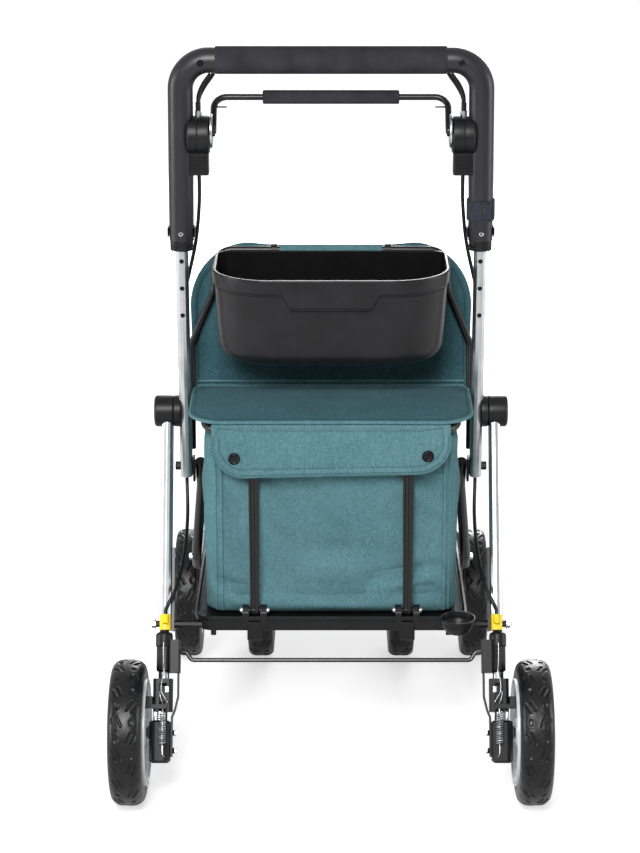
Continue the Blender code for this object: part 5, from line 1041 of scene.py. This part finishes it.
carried(stitches("seat_stitching", ring + ring[:1], (0, -0.3, 1)), "seat")


# Flap: two layers with a turned hem and a bound edge, stitched, with two snaps

FLAP_TOP_Z = 0.4970
FLAP_FOOT_Z = 0.4290
flap_outline = divided(rounded_outline(-0.1535, 0.1535, FLAP_FOOT_Z, FLAP_TOP_Z, [0.042, 0.042, 0.002, 0.002], 14),
                       0.004)
flap_spine = ((-0.112, 0.4720), (0.112, 0.4720))


def flap_point(p, y):
    """A point of the flap: it hangs a little askew, and its cloth curls out towards its foot."""
    x, z = p
    drop = held((0.4890 - z) / 0.060)
    curl = 0.0012 * drop * (1 + ripple((x, z, 0), 0.08, 7.0)) + 0.0008 * ripple((x, z, 0), 0.035, 4.0) * drop
    return Vector((x, y - curl, z + 0.0036 * drop * x / 0.156))


def flap_row(distance, y):
    """A row round the flap's sides and foot, in from its edge by a distance."""
    return opened([flap_point(p, y) for p in inset_ring(flap_outline, flap_spine, distance) if p[1] < 0.4830])


flap = cloth_skin("bag_flap_cloth", flap_outline, flap_spine, (
    (20, 0.97, -183.4), (20, 0.4, -183.4), (12, 0, -183.4), (1, 0, -183.4), (0, 0, -184.6), (0, 0, -185.8),
    (0.8, 0, -187.1), (3, 0, -187.5), (8.5, 0, -187.3), (9.6, 0, -186), (10.8, 0, -186.3), (13, 0, -186.8),
    (20, 0, -186.8), (20, 0.35, -186.8), (20, 0.7, -186.8), (20, 0.97, -186.8)), flap_point, cloth)
carried(flap, "seat", "bag_flap", blend=("flap", (0, -0.1850, 0.4930), (0, -0.1850, 0.4850)))
snap = [(0, -0.8), (8, -0.8), (8, 0.6), (6.6, 1.8), (5.2, 1.8), (4.4, 0.9), (3, 0.9), (1, 1.3), (0, 1.3)]
parts = [lathe("snap", snap, 0.4, flap_point((side * 0.1245, 0.4530), -0.1868), (0, -1, 0), dark_steel, 40)
         for side, _ in SIDES]
carried(merged("flap_snaps", parts), "flap")
rows = [stitches("hem_stitching", flap_row(distance, y), (0, -1, 0))
        for distance, y in ((0.0097, -0.1864), (0.0030, -0.1876))]
# The cord round the flap's edge is piping in the darker binding, partly painted shade for the shadow line under the
# edge
carried(pipe("flap_cord", flap_row(-0.0003, -0.1866), 0.0011, (0, 1, 0), binding, 10), "flap")
carried(merged("flap_stitching", rows), "flap")


# Back panel: an arch with a seam inside its edge, a sleeve round the bar and a double welt at its foot

PANEL_FOOT_Z = 0.4895
PANEL_ARCH_Z = 0.6000
PANEL_RISE = 0.0840


def panel_half_width(z):
    """Half the panel's width at a height: nearly straight sides, then a round arch."""
    if z < PANEL_ARCH_Z:
        return 0.1850 + 0.0040 * (z - PANEL_FOOT_Z) / (PANEL_ARCH_Z - PANEL_FOOT_Z)
    t = min(1.0, (z - PANEL_ARCH_Z) / PANEL_RISE)
    return 0.1120 + 0.0770 * (1 - t ** 2) ** 0.53


arch = []
for t in [k / 59 for k in range(60)]:
    z = (PANEL_FOOT_Z + (PANEL_ARCH_Z - PANEL_FOOT_Z) * t / 0.35 if t < 0.35
         else PANEL_ARCH_Z + PANEL_RISE * sin(0.5 * pi * (t - 0.35) / 0.65))
    arch.append((panel_half_width(z), z))
outline = divided(arch + [(-x, z) for x, z in reversed(arch)], 0.005)
panel_outline = [(x, z - 0.0055 * max(0.0, 1 - (x / 0.1100) ** 2) * max(0.0, (z - PANEL_ARCH_Z) / PANEL_RISE))
                 for x, z in outline]
panel_spine = ((-0.100, 0.5880), (0.100, 0.5880))


def panel_point(p, depth):
    """A point of the panel at a depth: it leans with the hoop and its cloth sags a little between its edges."""
    x, z = p
    slack = 0.0010 * ripple((x, 0, z), 0.10, 1.0) + 0.0004 * ripple((x, 0, z), 0.035, 6.0)
    return Vector((x, hoop_y(z) + 0.0115 + depth + slack * (abs(depth) < 0.01), z))


half = 0.068
# The panel takes the darkened copy of the cloth, as painted shade; its sleeve stays in the plain cloth
parts = [cloth_skin("panel", panel_outline, panel_spine, (
    (12, 0.97, 2.2), (12, 0.5, 2.2), (12, 0, 2.2), (9.5, 0, 1.4), (8, 0, 2.2), (1.5, 0, 2.4), (0, 0, 1), (0, 0, -1),
    (1.5, 0, -2.5), (5, 0, -2.9), (8, 0, -2.7), (9.2, 0, -1.5), (10.4, 0, -1.9), (13, 0, -2.4), (20, 0, -2.5),
    (20, 0.3, -2.5), (20, 0.65, -2.5), (20, 0.97, -2.5)), panel_point, painted_shade_cloth),
    lathe("panel_sleeve", [(5.3, -68), (6.9, -68), (6.9, 68), (5.3, 68)], 0.6, (0, BAR_Y, BAR_Z), (1, 0, 0), cloth, 40,
          True),
    block("sleeve_web", (-half, BAR_Y + 0.004, BAR_Z - 0.004), (half, BAR_Y + 0.0110, BAR_Z + 0.0030), cloth, 0.0012)]
panel = carried(merged("back_panel_cloth", parts), "frame", "back_panel")
parts = [pipe("foot_welt", [panel_point((x / 1000, z), -0.0034) for x in range(-180, 181, 6)], radius, (0, 0, 1),
              cloth, 14) for z, radius in ((0.4925, 0.0026), (0.4998, 0.0018))]
middle, reach = panel_point((-0.0290, 0.4925), -0.0034), Vector((0.004, 0, 0))
parts.append(peg("welt_joint", middle - reach, middle + reach, 0.0030, cloth, 18, 0.001))
carried(merged("back_panel_welt", parts), "frame")
row = [panel_point(p, -0.0024) for p in inset_ring(panel_outline, panel_spine, 0.0092) if p[1] > 0.5060]
carried(stitches("back_panel_stitching", opened(row), (0, -1, 0)), "frame")


# Bag: a sewn shell, deep under the seat and shallow in front of the back panel; it sags into the tray

BAG_HALF = 0.165
BAG_FOOT_Z = 0.2295
BAG_SIDE_LOW_Z = 0.2355
BAG_SIDE_HIGH_Z = 0.4660
BAG_WAIST_Z = 0.4750
BAG_TOP_Z = 0.6640
WALL = 0.0018
# Creases of the rear face in mm: x and z of both ends, width and depth; the other faces take them turned about
FOLDS = mm(((-125, 440, -10, 335, 18, 7.5), (-60, 430, 30, 330, 15, 6), (80, 432, 160, 365, 13, 8.5),
            (70, 405, 150, 330, 14, 6.6), (60, 370, 140, 300, 16, 4.8), (-150, 330, -90, 268, 14, 5.6),
            (40, 268, 150, 292, 9, 6.4), (-158, 272, -95, 250, 8, 6.2), (-60, 262, 60, 252, 9, 4.6),
            (-155, 420, -125, 350, 10, 5.5), (-40, 318, 60, 300, 16, 4.4), (128, 300, 158, 262, 8, 5.2)))
BAG_LEVELS = (mm([229.5, 230.2, 231.2, 232.6, 234.5, 237, 240]) + [0.2436 + 0.0038 * k for k in range(58)]
              + mm([464, 467.2, 470, 472.2, 473.7, 474.5]))
POUCH_LEVELS = [0.4762] + [0.4800 + 0.0046 * k for k in range(40)] + [BAG_TOP_Z]


def strip(name, path, side, width, rise):
    """A flat-felled seam along a path: a low rounded strip with a width and a rise."""
    section = [(-width / 2, -0.0008), (width / 2, -0.0008), (width / 2, rise * 0.35), (width * 0.42, rise * 0.85),
               (width * 0.2, rise), (-width * 0.2, rise), (-width * 0.42, rise * 0.85), (-width / 2, rise * 0.35)]
    return swept(name, path, section, side, cloth, sharp=60)


def wall_outline(x0, x1, y0, y1, corners, counts, steps=7):
    """A rounded rectangle whose four straight sides are cut into a number of steps each."""
    round_points = rounded_outline(x0, x1, y0, y1, corners, steps)
    points = []
    for side, count in enumerate(counts):
        points += round_points[side * (steps + 1):(side + 1) * (steps + 1)]
        (ax, ay), (bx, by) = points[-1], round_points[(side + 1) * (steps + 1) % len(round_points)]
        points += [(ax + (bx - ax) * k / count, ay + (by - ay) * k / count) for k in range(1, count)]
    return points


def fold(x, z, x0, z0, x1, z1, width, depth):
    """A soft crease from one point of a face to another: its depth at a place, fading at both ends."""
    dx, dz = x1 - x0, z1 - z0
    length = hypot(dx, dz)
    along = ((x - x0) * dx + (z - z0) * dz) / length
    off = ((x - x0) * dz - (z - z0) * dx) / length
    if not 0 < along < length:
        return 0.0
    return depth * sin(pi * along / length) ** 0.8 * (exp(-(off / width - 0.8) ** 2) - exp(-(off / width + 0.8) ** 2))


def bag_outline(z):
    """The bag's plain outline at a height, before it sags."""
    if z < BAG_SIDE_LOW_Z:
        t = (z - BAG_FOOT_Z) / 0.006
        inset, rear = 0.007 * (1 - t) ** 2, -BAG_HALF + 0.007 * (1 - t) ** 2
    elif z < BAG_SIDE_HIGH_Z:
        inset, rear = -0.0004 * sin(pi * (z - BAG_SIDE_LOW_Z) / 0.2305), -BAG_HALF
    elif z < BAG_WAIST_Z:
        t = min(1.0, (z - BAG_SIDE_HIGH_Z) / 0.0085)
        inset, rear = 0.005 * t * t, -BAG_HALF + 0.006 * t * t
    else:
        spots = ((0.4760, 0.004), (0.56, 0.004), (0.62, 0.012), (0.65, 0.026), (0.6641, 0.040))
        (z0, i0), (z1, i1) = next(pair for pair in zip(spots, spots[1:]) if z <= pair[1][0])
        t = (z - z0) / (z1 - z0)
        inset = i0 + (i1 - i0) * t
        rear = hoop_y(z) + 0.0150 + (0.006 * t if z > 0.65 else 0.0)
    corners = [0.024] * 4 if z < BAG_WAIST_Z else [0.006, 0.006, 0.022, 0.022]
    return wall_outline(-BAG_HALF + inset, BAG_HALF - inset, rear, 0.160 - inset * 0.4, corners, (72, 64, 72, 64))


def bag_swell(x, y, z, nx, ny):
    """How far the bag's wall stands off its plain outline at a place with an outward direction."""
    out = 0.0
    if z < BAG_WAIST_Z:
        belly = sin(pi * held((z - BAG_FOOT_Z) / 0.240)) ** 0.7
        out = 0.0030 * belly * max(0.0, 1 - (x / BAG_HALF) ** 2) * abs(ny)
        out += 0.0026 * belly * max(0.0, 1 - (y / BAG_HALF) ** 2) * abs(nx)
        turn = x if ny < 0 else -x
        out += sum(fold(turn, z, *crease) for crease in FOLDS) * ny * ny
        out += sum(fold(y * 0.95, z, *crease) for crease in FOLDS[::2]) * nx * nx * 0.7
        if ny < 0:
            out += 0.0100 * exp(-((z - 0.2440) / 0.0110) ** 2) * ny * ny * max(0.0, 1 - (x / BAG_HALF) ** 4)
        out *= held((0.4745 - z) / 0.02)
    elif ny < -0.5:
        return 0.0
    out += 0.0011 * ripple((x, y, z), 0.055, 9.0) + 0.0004 * ripple((x, y, z), 0.022, 11.0)
    if ny < -0.5 and z < BAG_WAIST_Z:
        # The rear wall leaves room for the struts
        beside = min(1.0, abs(abs(x) - STRUT_X) / 0.020)
        out = min(out, 0.0150 - (z - STRUT_FOOT_Z) * 0.043 + 0.006 * beside)
    return out


def lowered(y, z):
    """The height of a place above the seat: the bag's top falls away from the back panel."""
    return z - 0.59 * max(0.0, z - BAG_WAIST_Z) * max(0.0, y)


def bag_ring(z, inward=0.0):
    """The bag's wall at a height as a ring of points; inward moves it in by the cloth's thickness."""
    outline = bag_outline(z)
    ring = []
    for k, (x, y) in enumerate(outline):
        (ax, ay), (bx, by) = outline[k - 1], outline[(k + 1) % len(outline)]
        run = hypot(bx - ax, by - ay)
        nx, ny = (by - ay) / run, (ax - bx) / run
        out = bag_swell(x, y, z, nx, ny) - inward
        ring.append(Vector((x + nx * out, y + ny * out, lowered(y, z))))
    return ring


def bag_spot(x, z, rear):
    """The point of the bag's rear or front wall at an x and a height."""
    ring = [p for p in bag_ring(z) if (p.y < -0.1) == rear and (rear or p.y > 0.1)]
    ring.sort(key=lambda p: p.x)
    for a, b in zip(ring, ring[1:]):
        if a.x <= x <= b.x:
            return a.lerp(b, (x - a.x) / max(b.x - a.x, 1e-9))
    return ring[0] if x < 0 else ring[-1]


def floor_ring(z, share, inward):
    """A ring of the bag's floor, a share of the way from its wall to its middle."""
    return [Vector((p.x * (1 - share), -0.003 + (p.y + 0.003) * (1 - share), z)) for p in bag_ring(BAG_FOOT_Z, inward)]


BAG_BLEND = ("tray", (0, 0, 0.4700), (0, 0, 0.2400))
rings = [floor_ring(BAG_FOOT_Z, share, 0.0) for share in (0.97, 0.6, 0.3, 0.1)]
rings += [bag_ring(z) for z in BAG_LEVELS + POUCH_LEVELS]
rings += [bag_ring(z, WALL) for z in POUCH_LEVELS[::-3] + BAG_LEVELS[-6:5:-5]]
rings += [floor_ring(BAG_FOOT_Z + WALL, share, WALL) for share in (0.05, 0.3, 0.6, 0.97)]
bag = carried(skin("bag_body", rings, cloth, sharp=70), "frame", "bag", blend=BAG_BLEND)

seams, rows = [], []
for rear, way in ((True, -1), (False, 1)):
    heights = BAG_LEVELS[4:-3] if rear else BAG_LEVELS[4:-3] + POUCH_LEVELS[:-8]
    for side, _ in SIDES:
        shift = 0.0040 if rear and side < 0 else 0.0085
        for x, width, rise in ((0.1395 + shift, 0.0060, 0.0012), (0.1462 + shift, 0.0030, 0.0017)):
            line = [bag_spot(side * x, z, rear) for z in heights]
            beyond, within = (bag_spot(side * (x + off), heights[len(heights) // 2], rear) for off in (0.002, -0.002))
            lie = (beyond - within) * side
            lie = Vector((lie.x, lie.y, 0)).normalized() * way
            seams.append(strip("seam", line, lie, width, rise))
            if width > 0.005:
                for off in (-0.0021, 0.0021):
                    shifted = [p + lie * off * way + Vector((0, way * rise * 0.9, 0)) for p in line]
                    rows.append(stitches("row", shifted, (0, way, 0)))
carried(merged("bag_seams", seams), "frame", blend=BAG_BLEND)
carried(merged("bag_stitching", rows), "frame", blend=BAG_BLEND)

# The lid over the front part: a crowned cloth with a welt round its edge
top_ring = bag_ring(BAG_TOP_Z)
middle = sum(top_ring, Vector()) / len(top_ring)


def lid_spot(p, reach):
    """A place on the lid: a share of the way out from its middle to a point of the bag's top."""
    return middle.x + (p.x - middle.x) * reach, middle.y + (p.y - middle.y) * reach


rings = []
for reach, height in ((0.02, 0.0024), (0.5, 0.0022), (0.90, 0.0010), (1.004, 0.0004), (1.010, 0.0014),
                      (1.004, 0.0026), (0.96, 0.0040), (0.90, 0.0052), (0.6, 0.0060), (0.3, 0.0062), (0.02, 0.0062)):
    ring = []
    for p in top_ring:
        x, y = lid_spot(p, reach)
        lift = height + 0.0006 * ripple((p.x * reach, p.y * reach, 0), 0.05, 17.0)
        ring.append(Vector((x, y, lowered(y, BAG_TOP_Z) + lift)))
    rings.append(ring)
lid = carried(skin("bag_lid_cloth", rings, cloth, sharp=70), "frame", "bag")
edge = [Vector((*lid_spot(p, 1.006), p.z + 0.0016)) for p in top_ring]
carried(pipe("bag_lid_welt", edge, 0.0017, (0, 0, 1), binding, 12, around=True), "frame")


# Basket: an open tub, flat at the back, with a rim band that dips at the front, and hooks on the bar

TUB_FOOT_Z = 0.5560
TUB_FLOOR_Z = 0.5582
TUB_SIDE_Z = 0.5750
TUB_BAND_Z = 0.6590
TUB_HEIGHT = 0.1220
TUB_CURVE = 0.0190
TUB_INSET = 0.0020
TUB_DIP = 0.0185


def basket_ring(height, inset, dip=0.0):
    """The tub's outline at a height, moved in by an inset; the dip lowers the middle of its front."""
    t = max(0.0, (height - TUB_FOOT_Z) / TUB_HEIGHT)
    wide = 0.1472 + 0.0068 * t ** 0.7 - inset
    front = -0.1340 - 0.0190 * t ** 0.8 + inset
    corners = [max(0.0740 - inset, 0.010)] * 2 + [max(0.0180 - inset, 0.004)] * 2
    ring = []
    for x, y in wall_outline(-wide, wide, front, 0.0120 - inset, corners, (84, 20, 48, 20), 18):
        t = held((abs(x) - 0.0500) / 0.0140)
        ring.append(Vector((x, y, height - (dip * (1 - t * t * (3 - 2 * t)) if y < -0.09 else 0))))
    return ring


rings = [basket_ring(TUB_FOOT_Z, 0.040), basket_ring(TUB_FOOT_Z, 0.022)]
for turn in [0.5 * pi * k / 10 for k in range(11)]:
    rings.append(basket_ring(TUB_FOOT_Z + TUB_CURVE * (1 - cos(turn)), TUB_INSET + TUB_CURVE * (1 - sin(turn))))
rings += [basket_ring(TUB_SIDE_Z + (TUB_BAND_Z - 0.0010 - TUB_SIDE_Z) * k / 8, TUB_INSET, TUB_DIP * (k / 8) ** 3)
          for k in range(1, 8)]
rings += [basket_ring(TUB_BAND_Z - below, inset, TUB_DIP) for below, inset in mm([
    (4, 2), (3.6, 2.6), (2.9, 2.6), (2.5, 2), (1, 2), (0.4, 1.6), (0, 0.6), (-0.6, 0)])]
rings += [basket_ring(z, inset) for z, inset in mm([
    (675.5, 0), (677.2, 0.4), (678, 1.2), (678, 3.2), (677.2, 4), (675, 4.2), (577, 4.2)])]
for turn in [0.5 * pi * k / 8 for k in range(1, 9)]:
    rings.append(basket_ring(TUB_FLOOR_Z + 0.0188 * (1 - sin(turn)), 0.0042 + TUB_CURVE * (1 - cos(turn))))
tub = skin("tub", rings + [basket_ring(TUB_FLOOR_Z, 0.040)], basket_plastic)
# The tub's inner walls and floor take the darkened copy of the basket plastic, as painted shade
tub.data.materials.append(basket_painted_shade)
for face in tub.data.polygons:
    inward = face.normal.x * -face.center.x + face.normal.y * (-0.0600 - face.center.y)
    if 0.5570 < face.center.z < 0.6765 and (inward > 0.01 or face.normal.z > 0.5):
        face.material_index = 1
parts = [tub]
for side, _ in SIDES:
    x0, x1, inner, outer = side * 0.0720, side * 0.0800, 0.0055, 0.0055 + 0.0025
    outline = [(BAR_Y - radius * cos(pi * k / 16 * 0.95), BAR_Z + radius * sin(pi * k / 16 * 0.95))
               for radius, turns in ((outer, range(17)), (inner, range(16, -1, -1))) for k in turns]
    parts += [prism("hook", outline, (x0, x1), basket_plastic),
              block("hook_stem", (x0, BAR_Y - outer, 0.6660), (x1, BAR_Y - inner, BAR_Z + 0.0005), basket_plastic),
              block("hook_tie", (x0, 0.0105, 0.6660), (x1, BAR_Y - inner, 0.6720), basket_plastic)]
carried(eased(merged("basket_tub", parts), 0.0004), "basket", "basket")


# Tray: a pan with a raised rim, the struts' clevises, bosses on the front frame and a stick cup

rings = []
for z, inset in mm([(226.2, 20), (226.2, 4), (216.6, 4), (216.2, 3.2), (216.2, 2), (216.8, 1.4), (229.6, 1.4),
                    (230.4, 0.4), (231, 0), (235.2, 0), (236, 0.8), (236, 3.2), (235.2, 4), (229.4, 4), (229, 4.6),
                    (229, 20)]):
    wide, rear, front = 0.1795 - inset, -0.1955 + inset, 0.1750 - inset
    rings.append([(x, y, z) for x, y in rounded_outline(-wide, wide, rear, front, [0.0260 - inset] * 4, 14)])
tube = on_leg(0, 0, SLEEVE_ALONG)
notch = prism("notch", [(tube.y - 0.0057, 0.2060), (tube.y + 0.0220, 0.2060), (tube.y + 0.0220, tube.z + 0.0055),
                        (tube.y - 0.0057, tube.z + 0.0055)], (-0.19, 0.19), plastic)
parts = [cut_by(skin("pan", rings, plastic), notch)]
lug = softened(mm([(-196.5, 221.5), (-192, 221.5), (-192, 228), (-177.5, 228), (-177.5, 244.4), (-182, 248.9),
                   (-189, 248.9), (-196.5, 241.4), (-196.5, 221.5)]), 0.0030, 5)
for side, _ in SIDES:
    x = side * STRUT_X
    parts.append(block("keeper", (side * 0.1505, -0.1953, 0.2100), (side * 0.1575, -0.1922, 0.2206), plastic))
    for end in (-1, 1):
        near = x + end * 0.0075
        far = near + end * 0.0085
        dome = [(0, -1), (4.5, -1), (4.5, 2.2), (3, 3.8), (0, 4.4)]
        parts += [prism("clevis", lug, (near, far), plastic),
                  lathe("dome_nut", dome, 1, (far, STRUT_FOOT_Y, STRUT_FOOT_Z), (end, 0, 0), plated, 24)]
    parts += [peg("clevis_pin", (x - 0.0130, STRUT_FOOT_Y, STRUT_FOOT_Z), (x + 0.0130, STRUT_FOOT_Y, STRUT_FOOT_Z),
                  0.0025, coated),
              block("clevis_foot", (x - 0.0098, -0.1972, 0.2031), (x + 0.0098, -0.1925, 0.2290), plastic, 0.0012),
              peg("tray_boss", (side * 0.1755, *FRONT_PIVOT[1:]), (side * 0.1820, *FRONT_PIVOT[1:]), 0.0048, plastic)]
cup = [(0, 222.5), (10, 222.5), (15, 224.3), (20.5, 233.5), (22.2, 240.5), (23.2, 242), (23.2, 244), (21.2, 244),
       (19.5, 234.5), (14, 226.5), (0, 225.7)]
parts += [lathe("stick_cup", cup, 1.4, (0.1645, -0.2160, 0), (0, 0, 1), plastic),
          block("cup_neck", (0.1515, -0.1965, 0.2260), (0.1635, -0.1925, 0.2350), plastic, 0.001)]
carried(eased(merged("tray_pan", parts), 0.0004), "tray", "tray")


# Feet: the return springs, the inner wires, the boots' caps and the plated fasteners

COIL_LOW, COIL_HIGH, COIL_TURNS, TURN_STEPS = -0.0160, 0.0250, 14, 20
COIL_X, COIL_AHEAD, COIL_RADIUS = 0.2190, -0.0200, 0.0041
WIRES = ([(219, -10.6, 118), (219.2, -11.2, 105), (218.8, -11.2, 88), (218.2, -11, 79), (220, -13.5, 70),
          (221.5, -15, 59), (220, -15.8, 50), (216.5, -16.2, 44), (212.8, -16, 38)],
         [(220.5, -15, 56), (223, -17.2, 50), (221.2, -18.2, 42), (219, -17.8, 36.2)])
for side, tag in SIDES:
    coil = []
    for k in range(COIL_TURNS * TURN_STEPS + 1):
        angle = 2 * pi * k / TURN_STEPS + pi / 2
        along = COIL_LOW + (COIL_HIGH - COIL_LOW) * k / (COIL_TURNS * TURN_STEPS)
        coil.append(on_leg(side * (COIL_X + side * COIL_RADIUS * cos(angle)), COIL_AHEAD + COIL_RADIUS * sin(angle),
                           along))
    path = (leg_route(side, [(216.6, -14.3, -32.5), (217, -16.2, -32), (218.6, -17.8, -29.2), (219.2, -16.6, -24),
                             (219, -15.9, -19)])
            + coil + leg_route(side, [(219, -15.9, 27.2), (219, -15.9, 29.7)]))
    carried(pipe(f"brake_spring_{tag}_coil", path, 0.0008, (1, 0, 0), wire, 8), "rear_legs", f"brake_spring_{tag}",
            blend=(f"brake_shoe_{tag}", on_leg(0, COIL_AHEAD, COIL_LOW), on_leg(0, COIL_AHEAD, COIL_HIGH)))

    out = Vector((side, 0, 0))
    face = on_leg(side * 0.2300, 0, SLEEVE_ALONG)
    parts = [peg("washer", face, face + out * 0.0009, 0.0064, plated, 32, 0.0002),
             peg("nut", face + out * 0.0009, face + out * 0.0056, 0.0053, plated, 6),
             peg("bolt_end", face + out * 0.0050, face + out * 0.0074, 0.0026, plated, 24),
             peg("piston", *leg_route(side, [(218.9, 0, 69.5), (218.9, 0, 78.3)]), 0.0071, wire, 40, 0.0002),
             peg("inner_tube", *leg_route(side, [(223.3, 0.4, 14.9), (223.3, 0.6, 26.1)]), 0.0096, plated, 48, 0.0002)]
    for inner in leg_route(side, [(204.2, 0, -1), (204.2, 0, -24)]):
        parts.append(peg("strap_bolt", inner, inner - out * 0.0026, 0.0036, plated, 6))
    cap = mm([(10.3, 0), (11.2, 1.2), (11.2, 15), (10.4, 17.6), (7.2, 19.2), (6.4, 20), (6.4, 18), (9, 15), (10.3, 0)])
    parts.append(turned("boot_cap", softened(cap, 0.0010)[:-1], on_leg(side * 0.2189, 0, 0.1112), LEG_AXIS, plastic,
                        48, ring=True))
    carried(merged(f"foot_fittings_{tag}", parts), "rear_legs")

    section = rounded_outline(-0.0026, 0.0026, -0.0004, 0.0004, [0.0004] * 4, 3)
    moving = [swept("patch", leg_route(side, [(214, -13.1, 51.5), (214, -13.1, 59)]), section, (1, 0, 0), wire)]
    moving += [pipe("brake_wire", smooth_path(leg_route(side, table), 0.002), 0.00055, (1, 0, 0), wire, 10)
               for table in WIRES]
    carried(merged(f"slider_fittings_{tag}", moving), f"brake_shoe_{tag}")


# The solids that stay take their own materials, with their edges eased

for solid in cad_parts.values():
    if not solid.hide_render:
        slot_name = next((m.name for m in solid.data.materials if m), "")
        material = next((materials[0] for slot, materials in SLOTS.items() if slot in slot_name), plastic)
        solid.data.materials.clear()
        solid.data.materials.append(material)
        eased(solid, 0.0004)


# Stage, light and camera; glossy surfaces see the white floor and surroundings dimmed, which keeps black parts deep

FLOOR_GLOSS = 0.28
WORLD_GLOSS = 0.60


def seen_share(tree, gloss):
    """The kinds of ray, and a share: 1 for rays from the camera, the gloss for mirrored ones, 0 for the rest."""
    paths = add(tree, "LightPath")
    mirrored = add(tree, "Math", {0: paths.outputs["Is Glossy Ray"], 1: gloss}, operation="MULTIPLY")
    return paths, add(tree, "Math", {0: paths.outputs["Is Camera Ray"], 1: mirrored}, operation="MAXIMUM")


floor_mesh = bpy.data.meshes.new("floor")
floor_mesh.from_pydata([(-30, -30, 0), (30, -30, 0), (30, 30, 0), (-30, 30, 0)], [], [(0, 1, 2, 3)])
floor = bpy.data.objects.new("floor", floor_mesh)
bpy.context.collection.objects.link(floor)
# White floor: a matt pale ground that takes soft shadows and fades into the white surroundings
floor_material = bpy.data.materials.new("white_floor")
floor_material.use_nodes = True
tree = floor_material.node_tree
tree.nodes.clear()
plain = add(tree, "BsdfDiffuse", {"Color": (0.82, 0.82, 0.82, 1)})
spot = add(tree, "TexCoord").outputs["Object"]
away = add(tree, "VectorMath", {0: spot}, operation="LENGTH").outputs["Value"]
glow = add(tree, "Emission", {"Color": (1, 1, 1, 1), "Strength": between(tree, away, 0.60, 0.96, 0.5, 1.9)})
_, seen = seen_share(tree, FLOOR_GLOSS)
both = add(tree, "AddShader", {0: plain, 1: glow})
add(tree, "OutputMaterial", {"Surface": add(tree, "MixShader", {"Fac": seen, 1: plain, 2: both})})
floor_mesh.materials.append(floor_material)
floor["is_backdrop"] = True

world = bpy.data.worlds.new("studio")
bpy.context.scene.world = world
world.use_nodes = True
tree = world.node_tree
tree.nodes.clear()
dim = add(tree, "Background", {"Color": (1, 1, 1, 1), "Strength": 0.13})
white = add(tree, "Background", {"Color": (1, 1, 1, 1), "Strength": 1.0})
paths, seen = seen_share(tree, WORLD_GLOSS)
through = add(tree, "Math", {0: seen, 1: paths.outputs["Is Transmission Ray"]}, operation="MAXIMUM")
add(tree, "OutputWorld", {"Surface": add(tree, "MixShader", {"Fac": through, 1: dim, 2: white})})


def lamp(name, place, target, size, power):
    """A soft square lamp aimed at a point."""
    data = bpy.data.lights.new(name, "AREA")
    data.shape = "SQUARE"
    data.size = size
    data.energy = power
    obj = bpy.data.objects.new(name, data)
    obj.location = place
    obj.rotation_euler = (Vector(target) - Vector(place)).to_track_quat("-Z", "Y").to_euler()
    bpy.context.collection.objects.link(obj)


lamp("front_softbox", (-0.45, -2.8, 2.45), (0, 0, 0.45), 1.3, 101)
lamp("left_softbox", (-3.0, -0.6, 0.8), (0, 0, 0.5), 1.2, 34)
lamp("right_softbox", (3.0, -0.2, 0.8), (0, 0, 0.5), 1.2, 24)
lamp("back_softbox", (0.5, 3.4, 1.2), (0, 0, 0.5), 1.6, 72)

camera_data = bpy.data.cameras.new("camera")
camera_data.lens = 102.13
camera_data.shift_x = -0.0129
camera = bpy.data.objects.new("camera", camera_data)
camera.location = (0, -3.134, 1.440)
camera.rotation_euler = (radians(90 - 17.78), 0, 0)
bpy.context.collection.objects.link(camera)
bpy.context.scene.camera = camera
bpy.context.scene.view_settings.view_transform = "Standard"

low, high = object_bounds()
